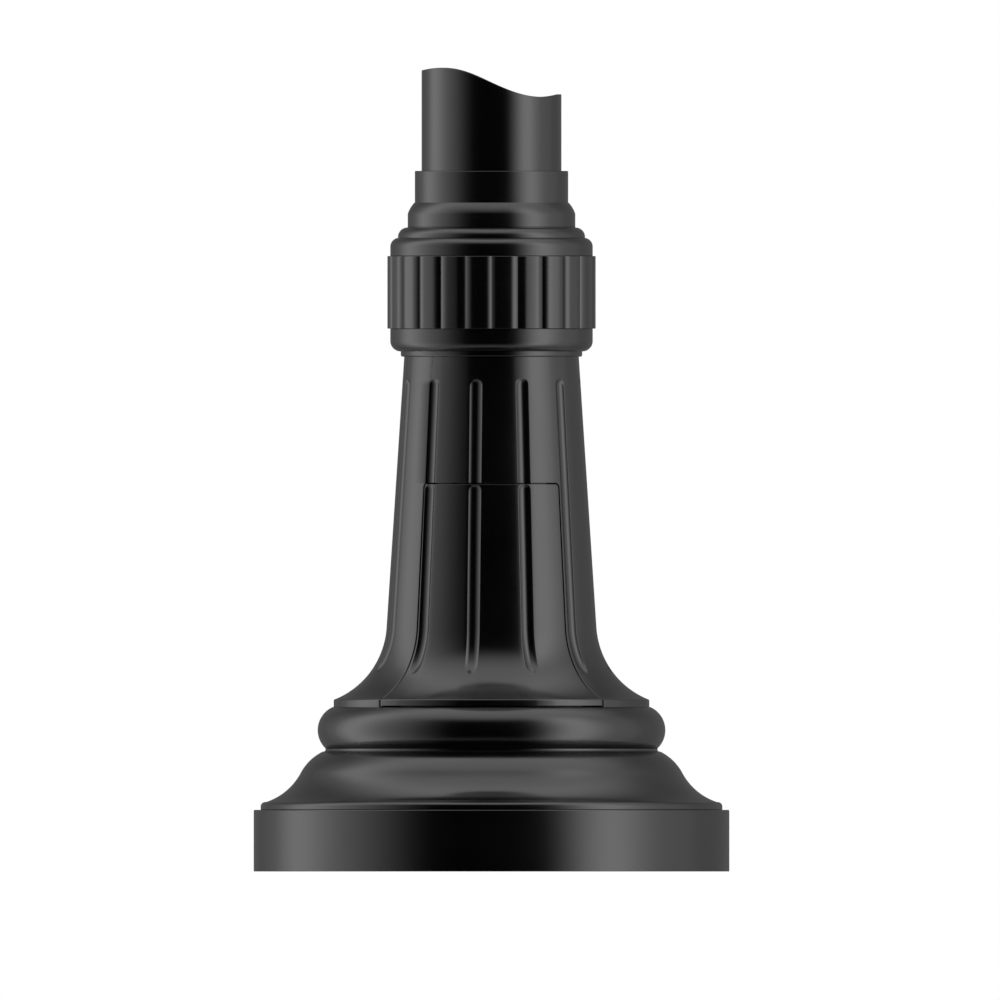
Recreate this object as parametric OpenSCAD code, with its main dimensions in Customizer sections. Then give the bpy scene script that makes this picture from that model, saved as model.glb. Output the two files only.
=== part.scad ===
// Foot of a street-clock post: a stack of round black castings over a structural pole,
// with a flush lift-off access door in the fluted shaft and the clock's supply board behind it.
// +Z is up, the front (door side) faces -Y, and the origin is the centre of the foot on the ground.
// Angles round the post are measured from the front, positive towards +X.

/* [Pole] */
// Outer diameter of the structural pole
pole_d = 127; // [115:0.5:132]
// Wall of the pole
pole_wall = 4.8; // [3:0.1:7]
// Mean height of the break at the top of the pole
break_z = 716.8; // [690:0.2:900]
// Rise and fall of the break line about its mean height
break_rise = 13.2; // [0:0.1:25]
// Length of one wave of the break line
break_wave = 184; // [120:2:240]

/* [Plinth] */
// Outer diameter of the plinth
plinth_d = 432; // [420:2:560]
// Height of the plinth
plinth_h = 56; // [44:1:90]
// Wall of the plinth
plinth_wall = 9; // [7:0.5:12]

/* [Ogee skirt] */
// Height of the ogee skirt, from the plinth to the foot of the torus
ogee_h = 55.5; // [54:0.5:60]
// Radius of its hollow lower curve
ogee_hollow_r = 55; // [52:0.5:58]
// Radius of its full upper curve
ogee_full_r = 45.4; // [42:0.2:48]
// Width of the step between the plinth and the skirt
plinth_step = 6.3; // [5:0.1:9]

/* [Torus] */
// Height of the torus ring
torus_h = 37.9; // [36:0.1:40]
// Section radius of the torus
torus_r = 23; // [22:0.1:24]
// Radius from the post's axis to the centre of the torus section
torus_centre_r = 134.9; // [130:0.1:136]

/* [Fluted shaft] */
// Height of the shaft casting
shaft_h = 318.1; // [300:1:420]
// Radius of the shaft at its top
shaft_top_r = 79.4; // [78:0.1:88]
// Taper of the shaft's side, in degrees from upright
taper = 3.76; // [2.5:0.01:4]
// Radius of the flare at the foot of the shaft
flare_r = 75.8; // [70:0.2:80]
// Height of the flare's centre above the foot of the shaft
flare_centre_h = 77.3; // [75:0.1:79]
// Radius of the flat band under the flare
list_r = 143.9; // [142:0.1:146]
// Height of the flat band under the flare
list_h = 7.2; // [5:0.1:8]
// Wall of the castings
wall = 7; // [5.5:0.5:8]
// Number of flutes round the shaft
flutes = 12; // [8:1:16]
// Angle of the first flute from the front
flute_phase = -10; // [-15:1:15]
// Radius of the flute's hollow
flute_r = 8.2; // [6:0.1:10]
// Depth of the flutes
flute_depth = 2.4; // [1.2:0.1:3]
// Distance from the top of the shaft down to the flutes
flute_top_margin = 20.2; // [15:0.1:40]
// Height of the flutes' lower ends above the foot of the shaft
flute_foot_h = 30; // [25:0.5:45]

/* [Access door] */
// Half the angle that the door spans
door_half = 45; // [40:1:45]
// Height of the door opening
door_h = 203.4; // [190:0.2:230]
// Gap round the door
door_gap = 1; // [0.6:0.1:1.5]
// Corner radius at the top of the door opening
door_corner_r = 4; // [2:0.5:8]
// Width of the rebate behind the door's edge
rebate = 10; // [8:0.5:14]
// Thickness of the door gasket
gasket_t = 2; // [1.5:0.1:3]
// Diameter of the door's push-in studs
stud_d = 6; // [5:0.5:7]

/* [Collar] */
// Radius of the plain rings above and below the reeded band
ring_r = 91.95; // [90:0.05:94]
// Height of the small neck under the collar
neck_h = 4.8; // [3:0.1:8]
// Height of the lower ring, from the neck to the band
lower_ring_h = 20.7; // [16:0.1:30]
// Outer radius of the reeded band
band_r = 94.85; // [94:0.05:98]
// Height of the reeded band
band_h = 66; // [50:1:90]
// Number of reeds
reeds = 24; // [16:1:30]
// Rounding radius of each reed's edge
reed_r = 15; // [12:0.5:18]
// Height of the stepped upper ring
upper_ring_h = 26.3; // [24:0.1:30]
// Radius of the cap moulding
cap_r = 76.1; // [75.5:0.1:78]
// Height of the cap moulding
cap_h = 22.2; // [20:0.1:30]
// Outer radius of the pole sleeve
sleeve_r = 69.65; // [69:0.05:72]
// Length of sleeve that shows above the cap
sleeve_show = 28.8; // [20:0.2:60]

/* [Anchorage] */
// Diameter of the anchor plate
plate_d = 342; // [320:2:344]
// Thickness of the anchor plate
plate_t = 16; // [12:1:22]
// Bolt circle of the anchor bolts
anchor_pcd = 279.4; // [270:0.2:290]
// Diameter of the anchor-bolt holes
anchor_hole_d = 22.2; // [18:0.2:26]
// Diameter of the cable entry in the anchor plate
entry_d = 76.2; // [50:0.2:90]
// Height of the gussets
gusset_h = 80; // [60:1:86]
// Thickness of the gussets
gusset_t = 10; // [8:0.5:14]

/* [Supply board] */
// Width of the pole's hand hole
handhole_w = 76; // [64:1:84]
// Height of the pole's hand hole
handhole_h = 130; // [110:2:144]
// Width of the backboard
board_w = 68; // [62:1:72]
// Height of the backboard
board_h = 140; // [130:2:150]
// Thickness of the backboard
board_t = 8; // [6:0.5:12]
// Travel of the fuse carrier as it pulls out
fuse_travel = 26; // [20:1:30]

/* [Hidden] */
$fn = 96;
eps = 0.01;
fit = 0.3;            // clearance between curved faces that seat on each other
slip = 0.1;           // clearance of a screw in its own hole
big = 700;            // longer than anything that is cut
pole_r = pole_d / 2;
pole_bore_r = pole_r - pole_wall;

// Heights of the joints between the castings
plinth_r = plinth_d / 2;
ogee_z = plinth_h;
torus_z = ogee_z + ogee_h;
shaft_z = torus_z + torus_h;
list_top = shaft_z + list_h;
shaft_top = shaft_z + shaft_h;
lower_ring_z = shaft_top + neck_h;
band_z = lower_ring_z + lower_ring_h;
upper_ring_z = band_z + band_h;
cap_z = upper_ring_z + upper_ring_h;
sleeve_show_z = cap_z + cap_h;
sleeve_top = sleeve_show_z + sleeve_show;

// The ogee's two curves touch on the line between their centres
ogee_foot_r = plinth_r - plinth_step;
bead_r = 4;
bead_z = ogee_z + 2.6;
hollow_c = [ogee_foot_r + 12.2, ogee_z + 59.4];
centres_angle = 208.07;
full_c = hollow_c + (ogee_hollow_r + ogee_full_r) * [cos(centres_angle), sin(centres_angle)];
ogee_neck_r = 150.9;
ogee_neck_h = 2.3;

// The flare is tangent to the tapered side, so its centre follows from the side's line
side_k = shaft_top_r * cos(taper) + shaft_top * sin(taper);
flare_cz = shaft_z + flare_centre_h;
flare_cr = (side_k + flare_r - flare_cz * sin(taper)) / cos(taper);
function side_r(z, d = 0) = (side_k - d - z * sin(taper)) / cos(taper);
function flare_at(z, d = 0) = flare_cr - sqrt(pow(flare_r + d, 2) - pow(flare_cz - z, 2));
function tangent_z(d = 0) = flare_cz - (flare_r + d) * sin(taper);

// Door, rebate and catches
door_top = shaft_z + door_h;
seal_gap = fit;                                  // between the gasket and the door's inner face
ledge_in = wall + seal_gap + gasket_t + fit;     // depth of the rebate's seat below the outer face
ledge_t = 4.6;
stud_r = stud_d / 2;
stud_seat = 5;                                   // how far a stud reaches into its boss
clip_t = 1.2;
clip_reach = 4;
lug_t = 5;
boss_r = 7;
flange_t = 8;
top_stud = [26, door_top - rebate - boss_r - 1];       // x and z of the upper studs
foot_stud = [28, shaft_z + flange_t + boss_r + 1];     // x and z of the lower studs
top_boss_y = sqrt(pow(side_r(top_stud[1], wall), 2) - pow(top_stud[0] + boss_r, 2)) - 0.5;
top_lug_y = top_boss_y - 2.2;                    // front of the upper lug plate, as a distance before the axis
foot_boss_y = 107;
foot_lug_y = foot_boss_y - 3;
shaft_flange_r = 96;

// Collar
collar_bore_r = sleeve_r + fit;
core_r = band_r - 8.5;
core_wall = 7.5;
reed_land = 2.8;                                 // half the angle of a reed's plain land
neck_r = shaft_top_r + 3;
lower_round_r = 9.5;
sleeve_z = shaft_top;

// Bolts between castings
bolt_r = 5;
head_r = 9.2;
head_h = 6.4;
plinth_lip_t = 8;
plinth_lip_r = plinth_r - 33;
ogee_flange_t = 5;
joint_bolt_r = 124;                              // radius of the bolts at the torus's two flanges
flange_in_r = 112;
plinth_bolt_pos = plinth_r - 20;

// Supply board, inside the pole
board_y = 16;                                    // front face of the backboard, behind the axis
board_drop = 33.4;                                // from the door's upper edge down to the board's top
board_z = door_top - board_drop - board_h;
handhole_z = board_z + board_h / 2;
frame_rim = 10;
frame_t = 6;
board_bolt_r = 4;
spacer_r = 8;
board_bolt_head_r = 7;
board_bolt_zs = [board_z + 10, board_z + board_h - 10];
block_size = [60, 24, 20];
block_z = board_bolt_zs[0] + board_bolt_head_r + 5;
fuse_size = [26, 30, 56];
fuse_z = board_bolt_zs[1] - board_bolt_head_r - 5 - fuse_size[2];

casting_black = [0.07, 0.07, 0.075];
steel_grey = [0.45, 0.46, 0.48];
zinc = [0.62, 0.63, 0.65];
rubber_black = [0.04, 0.04, 0.04];
board_brown = [0.32, 0.22, 0.14];
moulded_white = [0.86, 0.85, 0.80];
brass = [0.72, 0.55, 0.25];

// ---------- helpers ----------

// Children drawn at the front are turned to an angle round the post
module at_angle(a) {
    rotate([0, 0, a]) children();
}

// A round bar along Y, from y0 (front) to y1 (back)
module bar_y(x, z, y0, y1, r) {
    translate([x, y0, z]) rotate([-90, 0, 0]) cylinder(r = r, h = y1 - y0);
}

// The wedge in front of the post that spans the angles within half of the front
module front_wedge(half, apex = 0, z0 = -1, z1 = big) {
    x = big * tan(half);
    translate([0, -apex, z0]) linear_extrude(z1 - z0) polygon([[0, 0], [-x, -big], [x, -big]]);
}

// Hexagon-headed bolt that points up from z, its head below
module bolt_up(z, length) {
    translate([0, 0, z - head_h]) cylinder(r = head_r, h = head_h, $fn = 6);
    translate([0, 0, z - eps]) cylinder(r = bolt_r, h = length);
}

// Slotted or hexagon-socket grub screw along the radius at the front, between two radii
module grub_screw(z, r0, r1, r, key) {
    difference() {
        bar_y(0, z, -r1, -r0, r);
        translate([0, -r1 - eps, z]) rotate([-90, 0, 0]) cylinder(r = key, h = 3, $fn = 6);
    }
}

// ---------- outlines, as areas right of the post's axis ----------

// Everything inside the ogee skirt's outer face moved in by d
module ogee_area(d = 0) {
    inflection_z = hollow_c[1] + (ogee_hollow_r + d) * sin(centres_angle);
    top = torus_z + 1;
    difference() {
        translate([0, ogee_z - 1]) square([ogee_foot_r - bead_r - d, inflection_z - ogee_z + 1]);
        translate(hollow_c) circle(ogee_hollow_r + d);
    }
    intersection() {
        translate([0, inflection_z - eps]) square([big, top - inflection_z]);
        union() {
            translate(full_c) circle(ogee_full_r - d);
            translate([0, ogee_z]) square([full_c[0], top - ogee_z - (d > 0 ? flange_t + 1 : 0)]);
        }
    }
}

// Everything inside the fluted shaft's outer face moved in by d; the tapered part overlaps the
// flare by lap where the two touch
module shaft_area(d = 0, lap = eps) {
    foot_r = d == 0 ? list_r : flare_at(list_top, d);
    tz = tangent_z(d);
    tr = side_r(tz, d);
    top = shaft_top + (d == 0 ? 0 : 1);
    polygon([[0, tz - lap], [tr - lap + eps, tz - lap], [tr, tz], [side_r(top, d), top], [0, top]]);
    difference() {
        translate([0, list_top - eps]) square([flare_cr, tz - list_top + (lap > eps ? eps : 0)]);
        translate([flare_cr, flare_cz]) circle(flare_r + d);
    }
    translate([0, shaft_z - (d == 0 ? 0 : 1)]) square([foot_r, list_h + (d == 0 ? 0 : 1)]);
}

// The layer of the shaft between two depths below its outer face
module shaft_layer(d0, d1, lap = eps) {
    rotate_extrude() difference() {
        shaft_area(d0, lap);
        shaft_area(d1, lap);
    }
}

// What the rounded upper corners leave of the door opening, drawn in by inset all round
module corner_fillers(inset) {
    r = door_corner_r - inset / 2;
    out = 0.05;       // the arc ends just outside the opening, so that it crosses the edges at a slant
    for (s = [-1, 1])
        at_angle(s * door_half) translate([-s * inset, -60, door_top - inset])
            rotate([90, 0, 0]) linear_extrude(50) polygon([
                [s, 1], [s, -r],
                for (a = [0 : 15 : 90]) [s * (r * (cos(a) - 1) + out), r * (sin(a) - 1) + out],
                [-s * r, 1]
            ]);
}

// The hollow of every flute, cut along the side and round the flare
module flute_cutters() {
    lift = flute_r - flute_depth;
    foot_angle = asin((flare_centre_h - flute_foot_h) / flare_r);
    tz = tangent_z();
    run = (shaft_top - flute_top_margin - tz) / cos(taper);
    for (i = [0 : flutes - 1])
        at_angle(flute_phase + i * 360 / flutes - 90) {
            translate([side_r(tz) + lift * cos(taper), 0, tz + lift * sin(taper)])
                rotate([0, -taper, 0]) cylinder(r = flute_r, h = run);
            translate([flare_cr, 0, flare_cz]) rotate([90, 0, 0]) rotate([0, 0, 180 + taper])
                rotate_extrude(angle = foot_angle - taper) translate([flare_r - lift, 0]) circle(flute_r);
        }
}

// The places of the four door studs, as [x, z, front of the lug plate, face of the boss]
stud_places = [
    for (s = [-1, 1]) [s * top_stud[0], top_stud[1], top_lug_y, top_boss_y],
    for (s = [-1, 1]) [s * foot_stud[0], foot_stud[1], foot_lug_y, foot_boss_y]
];

// ---------- anchorage and pole ----------

module anchor_plate() {
    color(steel_grey) difference() {
        cylinder(r = plate_d / 2, h = plate_t);
        translate([0, 0, -1]) cylinder(r = entry_d / 2, h = plate_t + 2);
        for (a = [45 : 90 : 315])
            at_angle(a) translate([anchor_pcd / 2, 0, -1]) cylinder(r = anchor_hole_d / 2, h = plate_t + 2);
    }
}

// The sine-shaped break at the pole's top, as the space above it
module break_space() {
    reach = pole_r + 5;
    steps = 28;
    translate([0, reach, 0]) rotate([90, 0, 0]) linear_extrude(2 * reach) polygon([
        for (i = [0 : steps])
            let (x = -reach + 2 * reach * i / steps)
                [x, break_z - break_rise * sin(360 * x / break_wave)],
        [reach, big + 300], [-reach, big + 300]
    ]);
}

// A stadium-shaped prism along Y, through the front wall of the pole only
module handhole_prism(grow) {
    w = handhole_w / 2 + grow;
    straight = handhole_h / 2 - handhole_w / 2;
    for (s = [-1, 1])
        bar_y(0, handhole_z + s * straight, -pole_r - 30, 0, w);
    translate([-w, -pole_r - 30, handhole_z - straight]) cube([2 * w, pole_r + 30, 2 * straight]);
}

module pole_tube() {
    color(casting_black) difference() {
        translate([0, 0, plate_t]) cylinder(r = pole_r, h = break_z + break_rise + 20 - plate_t);
        translate([0, 0, plate_t - 1]) cylinder(r = pole_bore_r, h = break_z + break_rise + 40);
        break_space();
        handhole_prism(0);
        for (z = board_bolt_zs)
            bar_y(0, z, 0, pole_r + 5, board_bolt_r + slip);
    }
}

module foot_weld() {
    leg = 8;
    color(steel_grey) rotate_extrude()
        polygon([[pole_r + eps, plate_t], [pole_r + leg, plate_t], [pole_r + eps, plate_t + leg]]);
}

module gusset_plates() {
    snipe = 12;
    reach = 86;
    r0 = pole_r + fit;
    color(steel_grey) for (a = [0 : 90 : 270])
        at_angle(a) rotate([90, 0, 0]) translate([0, 0, -gusset_t / 2]) linear_extrude(gusset_t)
            polygon([
                [r0 + snipe, plate_t], [r0 + reach, plate_t], [r0 + reach, plate_t + 12],
                [r0 + 12, plate_t + gusset_h], [r0, plate_t + gusset_h], [r0, plate_t + snipe]
            ]);
}

module handhole_frame() {
    color(steel_grey) difference() {
        intersection() {
            handhole_prism(frame_rim);
            translate([0, 0, handhole_z - handhole_h]) cylinder(r = pole_r + fit + frame_t, h = 2 * handhole_h);
        }
        translate([0, 0, handhole_z - handhole_h - 1]) cylinder(r = pole_r + fit, h = 2 * handhole_h + 2);
        handhole_prism(0);
    }
}

// ---------- castings of the foot ----------

module plinth_ring() {
    lip_z = plinth_h - plinth_lip_t;
    foot_flange = 12;
    color(casting_black) difference() {
        rotate_extrude() {
            translate([plinth_r - plinth_wall, 0]) square([plinth_wall, plinth_h]);
            translate([plinth_r - plinth_wall - foot_flange, 0]) square([foot_flange + 1, wall]);
            translate([plinth_lip_r, lip_z]) square([plinth_r - plinth_lip_r - 1, plinth_lip_t]);
        }
        for (a = [45 : 90 : 315])
            at_angle(a) translate([plinth_bolt_pos, 0, lip_z - 1]) cylinder(r = bolt_r + slip, h = plinth_lip_t + 2);
    }
}

module plinth_bolts() {
    color(zinc) for (a = [45 : 90 : 315])
        at_angle(a) translate([plinth_bolt_pos, 0, 0]) bolt_up(plinth_h - plinth_lip_t, plinth_lip_t + ogee_flange_t);
}

module ogee_skirt() {
    color(casting_black) difference() {
        union() {
            rotate_extrude() {
                difference() {
                    ogee_area();
                    ogee_area(wall);
                    translate([0, 0]) square([big, ogee_z]);
                    translate([ogee_neck_r, torus_z - ogee_neck_h]) square([big, big]);
                    translate([0, torus_z]) square([big, big]);
                    translate([0, 0]) square([flange_in_r, big]);
                }
                translate([full_c[0], torus_z - ogee_neck_h]) square([ogee_neck_r - full_c[0], ogee_neck_h]);
                translate([plinth_lip_r, ogee_z]) square([ogee_foot_r - plinth_lip_r, bead_z - ogee_z]);
                translate([plinth_lip_r, ogee_z]) square([ogee_foot_r - bead_r - plinth_lip_r, ogee_flange_t]);
                translate([ogee_foot_r - bead_r, bead_z]) circle(bead_r);
                translate([plinth_lip_r - fit - 5, ogee_z - 5]) square([5, 5 + ogee_flange_t]);
                translate([plinth_lip_r - fit - 1, ogee_z]) square([3, ogee_flange_t]);
            }
        }
        translate([0, 0, ogee_z - 10]) difference() {
            cylinder(r = ogee_foot_r + 5, h = 10);
            translate([0, 0, -1]) cylinder(r = plinth_lip_r - fit, h = 12);
        }
        for (a = [45 : 90 : 315])
            at_angle(a) translate([plinth_bolt_pos, 0, ogee_z - 1]) cylinder(r = bolt_r + slip, h = ogee_flange_t + 1.5);
        for (a = [0 : 90 : 270])
            at_angle(a) translate([joint_bolt_r, 0, torus_z - 20]) cylinder(r = bolt_r + slip, h = 21);
    }
}

module ogee_bolts() {
    color(zinc) for (a = [0 : 90 : 270])
        at_angle(a) translate([joint_bolt_r, 0, 0]) bolt_up(torus_z - flange_t, 2 * flange_t - 1);
}

module torus_ring() {
    mid = torus_z + torus_h / 2;
    centre = [torus_centre_r, torus_z + 16.9];
    color(casting_black) difference() {
        rotate_extrude() difference() {
            union() {
                intersection() {
                    translate(centre) circle(torus_r);
                    translate([0, torus_z]) square([big, torus_h]);
                }
                translate([flange_in_r, torus_z]) square([torus_centre_r - flange_in_r, torus_h]);
            }
            // hollow between the two flanges
            intersection() {
                translate([0, torus_z + flange_t]) square([big, torus_h - 2 * flange_t]);
                union() {
                    translate(centre) circle(torus_r - wall);
                    square([torus_centre_r, torus_z + torus_h]);
                }
            }
        }
        for (a = [0 : 90 : 270])
            at_angle(a) translate([joint_bolt_r, 0, torus_z - 1]) cylinder(r = bolt_r + slip, h = flange_t + 1.5);
        for (a = [0, 90, 180])
            at_angle(a) translate([joint_bolt_r, 0, mid]) cylinder(r = bolt_r + slip, h = torus_h);
    }
}

module torus_bolts() {
    color(zinc) for (a = [0, 90, 180])
        at_angle(a) translate([joint_bolt_r, 0, 0]) bolt_up(shaft_z - flange_t, 2 * flange_t - 0.5);
}

// ---------- fluted shaft and door ----------

module fluted_shaft() {
    hub_t = 15;
    color(casting_black) difference() {
        union() {
            shaft_layer(0, wall);
            // rebate round the door: the wall is carried in behind the door's edge
            intersection() {
                shaft_layer(wall - 1, ledge_in + ledge_t);
                difference() {
                    front_wedge(door_half + 6, 0, list_top, door_top + rebate);
                    front_wedge(door_half - 6, 0, list_top - 1, door_top - rebate);
                }
            }
            // hub that centres the shaft on the pole
            translate([0, 0, shaft_top - hub_t]) difference() {
                cylinder(r = side_r(shaft_top) - 3, h = hub_t);
                translate([0, 0, -1]) cylinder(r = pole_r + fit, h = hub_t + 2);
            }
            // foot flange
            translate([0, 0, shaft_z]) difference() {
                cylinder(r = flare_at(list_top, wall) + 2, h = flange_t);
                translate([0, 0, -1]) cylinder(r = shaft_flange_r, h = flange_t + 2);
            }
            // lug plates that carry the spring clips
            translate([-36, -top_lug_y, top_stud[1] - 10])
                cube([72, lug_t, door_top + rebate - top_stud[1] + 9]);
            for (s = [-1, 1])
                translate([s * foot_stud[0] - 7, -foot_lug_y, shaft_z + 1]) cube([14, lug_t, 20]);
        }
        // the door opening, down to the rebate's seat
        difference() {
            intersection() {
                shaft_layer(-4, ledge_in, 1);
                front_wedge(door_half, 0, shaft_z - 1, door_top);
            }
            corner_fillers(0);
        }
        flute_cutters();
        for (p = stud_places)
            bar_y(p[0], p[1], -p[2] - 1, -p[2] + lug_t + 1, stud_r + fit);
        for (a = [90, 180])
            at_angle(a) translate([joint_bolt_r, 0, shaft_z - 1]) cylinder(r = bolt_r + slip, h = flange_t + 2);
        translate([joint_bolt_r, 0, shaft_z - 1]) cylinder(r = bolt_r + slip, h = flange_t + 2);
    }
}

module door_gasket() {
    inner = door_half - 5;
    outer = door_half - 1;
    color(rubber_black) intersection() {
        shaft_layer(wall + seal_gap, wall + seal_gap + gasket_t, 1);
        difference() {
            front_wedge(outer, 0, list_top + 4, door_top - 3);
            front_wedge(inner, 0, list_top, door_top - 8);
        }
    }
}

// Each clip is a small plate behind its lug with two leaves that grip the stud
module spring_clips() {
    grip = stud_r + 0.2;
    color(zinc) for (p = stud_places) {
        back = -p[2] + lug_t;
        difference() {
            translate([p[0] - 7, back, p[1] - 5]) cube([14, clip_t, 10]);
            bar_y(p[0], p[1], back - 1, back + clip_t + 1, grip);
        }
        for (s = [-1, 1])
            translate([p[0] + s * (grip + clip_t / 2) - clip_t / 2, back + clip_t - eps, p[1] - 3])
                cube([clip_t, clip_reach, 6]);
    }
}

module access_door() {
    color(casting_black) difference() {
        intersection() {
            union() {
                shaft_layer(0, wall);
                intersection() {
                    rotate_extrude() shaft_area(2);
                    for (p = stud_places)
                        bar_y(p[0], p[1], -list_r, -p[3], boss_r);
                }
            }
            front_wedge(door_half, door_gap / sin(door_half), shaft_z + door_gap, door_top - door_gap);
        }
        corner_fillers(door_gap);
        flute_cutters();
        for (p = stud_places)
            bar_y(p[0], p[1], -p[3] - stud_seat - 0.5, -p[3] + 1, stud_r + slip);
    }
}

module door_studs() {
    color(zinc) for (p = stud_places)
        bar_y(p[0], p[1], -p[3] - stud_seat, -p[2] + lug_t + clip_t + clip_reach, stud_r);
}

// ---------- collar ----------

module collar_body() {
    color(casting_black) difference() {
        rotate_extrude() {
            // neck and rounded lower ring
            translate([collar_bore_r, shaft_top]) square([neck_r - collar_bore_r, neck_h + 1]);
            translate([collar_bore_r, lower_ring_z]) square([ring_r - lower_round_r - collar_bore_r, lower_ring_h]);
            translate([ring_r - lower_round_r, lower_ring_z + lower_round_r])
                square([lower_round_r, lower_ring_h - lower_round_r]);
            intersection() {
                translate([ring_r - lower_round_r, lower_ring_z + lower_round_r]) circle(lower_round_r);
                translate([0, lower_ring_z]) square([big, lower_round_r + 1]);
            }
            // core that carries the band
            translate([core_r - core_wall, band_z - 1]) square([core_wall, band_h + 1]);
        }
        for (a = [135, 225])
            at_angle(a) bar_y(0, band_z - 8, -ring_r - 1, -collar_bore_r + 1, 4 + slip);
    }
}

// Outline of the reeded band: plain lands with rounded edges that meet in narrow valleys
function reed_outline() = [
    for (i = [0 : reeds - 1], s = [-1, 1], k = [0 : 4])
        let (
            half = 180 / reeds,
            share = s < 0 ? 1 - k / 4 : k / 4,
            off = reed_land + share * (half - reed_land),
            run = share * (half - reed_land) * PI / 180 * band_r,
            r = band_r - reed_r + sqrt(reed_r * reed_r - run * run),
            a = (i + 0.5) * 2 * half + s * off
        )
        if (!(s > 0 && k == 4)) [r * sin(a), -r * cos(a)]
];

module reeded_band() {
    color(casting_black) translate([0, 0, band_z]) difference() {
        linear_extrude(band_h) polygon(reed_outline());
        translate([0, 0, -1]) cylinder(r = core_r + fit, h = band_h + 2);
    }
}

module upper_collar() {
    round_1 = 8.2;
    round_2 = 8.7;
    step_1 = 16.6;
    inner_step_r = cap_r + 0.2;
    step_r = inner_step_r + round_2;
    color(casting_black) rotate_extrude() {
        translate([collar_bore_r, upper_ring_z]) square([ring_r - round_1 - collar_bore_r, step_1]);
        translate([ring_r - round_1 - 1, upper_ring_z]) square([round_1 + 1, step_1 - round_1]);
        translate([ring_r - round_1, upper_ring_z + step_1 - round_1]) circle(round_1);
        translate([collar_bore_r, upper_ring_z + step_1 - 1]) square([inner_step_r - collar_bore_r, upper_ring_h - step_1 + 1]);
        intersection() {
            translate([inner_step_r, cap_z - round_2 - 0.4]) circle(round_2);
            translate([collar_bore_r, upper_ring_z + step_1 - 1]) square([step_r - collar_bore_r, upper_ring_h]);
        }
        // spigot inside the core
        translate([collar_bore_r, upper_ring_z - 8]) square([core_r - core_wall - fit - collar_bore_r, 9]);
    }
}

module cap_moulding() {
    straight = 11.5;
    round_r = 26.1;
    color(casting_black) rotate_extrude() {
        translate([collar_bore_r, cap_z]) square([cap_r - collar_bore_r, straight]);
        intersection() {
            translate([cap_r - round_r + 1.2, cap_z + cap_h - 18.1]) circle(round_r);
            translate([collar_bore_r, cap_z]) square([cap_r - collar_bore_r, cap_h]);
        }
    }
}

module pole_sleeve() {
    color(casting_black) difference() {
        translate([0, 0, sleeve_z]) cylinder(r = sleeve_r, h = sleeve_top - sleeve_z);
        translate([0, 0, sleeve_z - 1]) cylinder(r = pole_r + fit, h = sleeve_top - sleeve_z + 2);
        for (a = [135, 225])
            at_angle(a) bar_y(0, sleeve_top - 13, -sleeve_r - 1, 0, 4 + slip);
    }
}

module sleeve_set_screws() {
    color(zinc) for (a = [135, 225])
        at_angle(a) grub_screw(sleeve_top - 13, pole_r + slip, sleeve_r - 0.5, 4, 2.3);
}

module collar_set_screws() {
    color(zinc) for (a = [135, 225])
        at_angle(a) grub_screw(band_z - 8, sleeve_r + slip, sleeve_r + 14, 4, 2.3);
}

// ---------- supply board ----------

module backboard() {
    color(board_brown) difference() {
        translate([-board_w / 2, board_y, board_z]) cube([board_w, board_t, board_h]);
        for (z = board_bolt_zs)
            bar_y(0, z, board_y - 1, board_y + board_t + 1, board_bolt_r + slip);
    }
}

module board_spacers() {
    color(zinc) for (z = board_bolt_zs) difference() {
        bar_y(0, z, board_y + board_t, sqrt(pow(pole_bore_r, 2) - pow(spacer_r, 2)) - slip, spacer_r);
        bar_y(0, z, board_y, pole_r, board_bolt_r + slip);
    }
}

module board_bolts() {
    color(zinc) for (z = board_bolt_zs) {
        translate([0, board_y - 5, z]) rotate([-90, 0, 0]) cylinder(r = board_bolt_head_r, h = 5, $fn = 6);
        bar_y(0, z, board_y - eps, pole_r + 8, board_bolt_r);
        difference() {
            translate([0, pole_r + fit, z]) rotate([-90, 0, 0]) cylinder(r = board_bolt_head_r, h = 6, $fn = 6);
            bar_y(0, z, pole_r - 1, pole_r + 10, board_bolt_r - 0.5);
        }
    }
}

module terminal_block() {
    color(moulded_white) difference() {
        translate([-block_size[0] / 2, board_y - block_size[1], block_z]) cube(block_size);
        for (x = [-20, 0, 20]) {
            for (z = [5, 15])
                bar_y(x, block_z + z, board_y - block_size[1] - 1, board_y - block_size[1] + 10, 3.2);
            translate([x, board_y - 8, block_z - 1]) cylinder(r = 3, h = block_size[2] + 2);
        }
        for (x = [-10, 10])
            translate([x - 1, board_y - block_size[1] - 1, block_z - 1]) cube([2, 7, block_size[2] + 2]);
    }
}

module terminal_screws() {
    color(brass) for (x = [-20, 0, 20], z = [5, 15]) difference() {
        bar_y(x, block_z + z, board_y - block_size[1] + 3, board_y - block_size[1] + 9.9, 2.8);
        translate([x - 3, board_y - block_size[1] + 2, block_z + z - 0.5]) cube([6, 2.5, 1]);
    }
}

module fuse_base() {
    depth = fuse_size[1];
    color(moulded_white) difference() {
        translate([-fuse_size[0] / 2, board_y - depth, fuse_z]) cube([fuse_size[0], depth, fuse_size[2]]);
        translate([-fuse_size[0] / 2 + 4, board_y - depth - 1, fuse_z + 4])
            cube([fuse_size[0] - 8, depth - 5, fuse_size[2] - 8]);
    }
}

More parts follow.
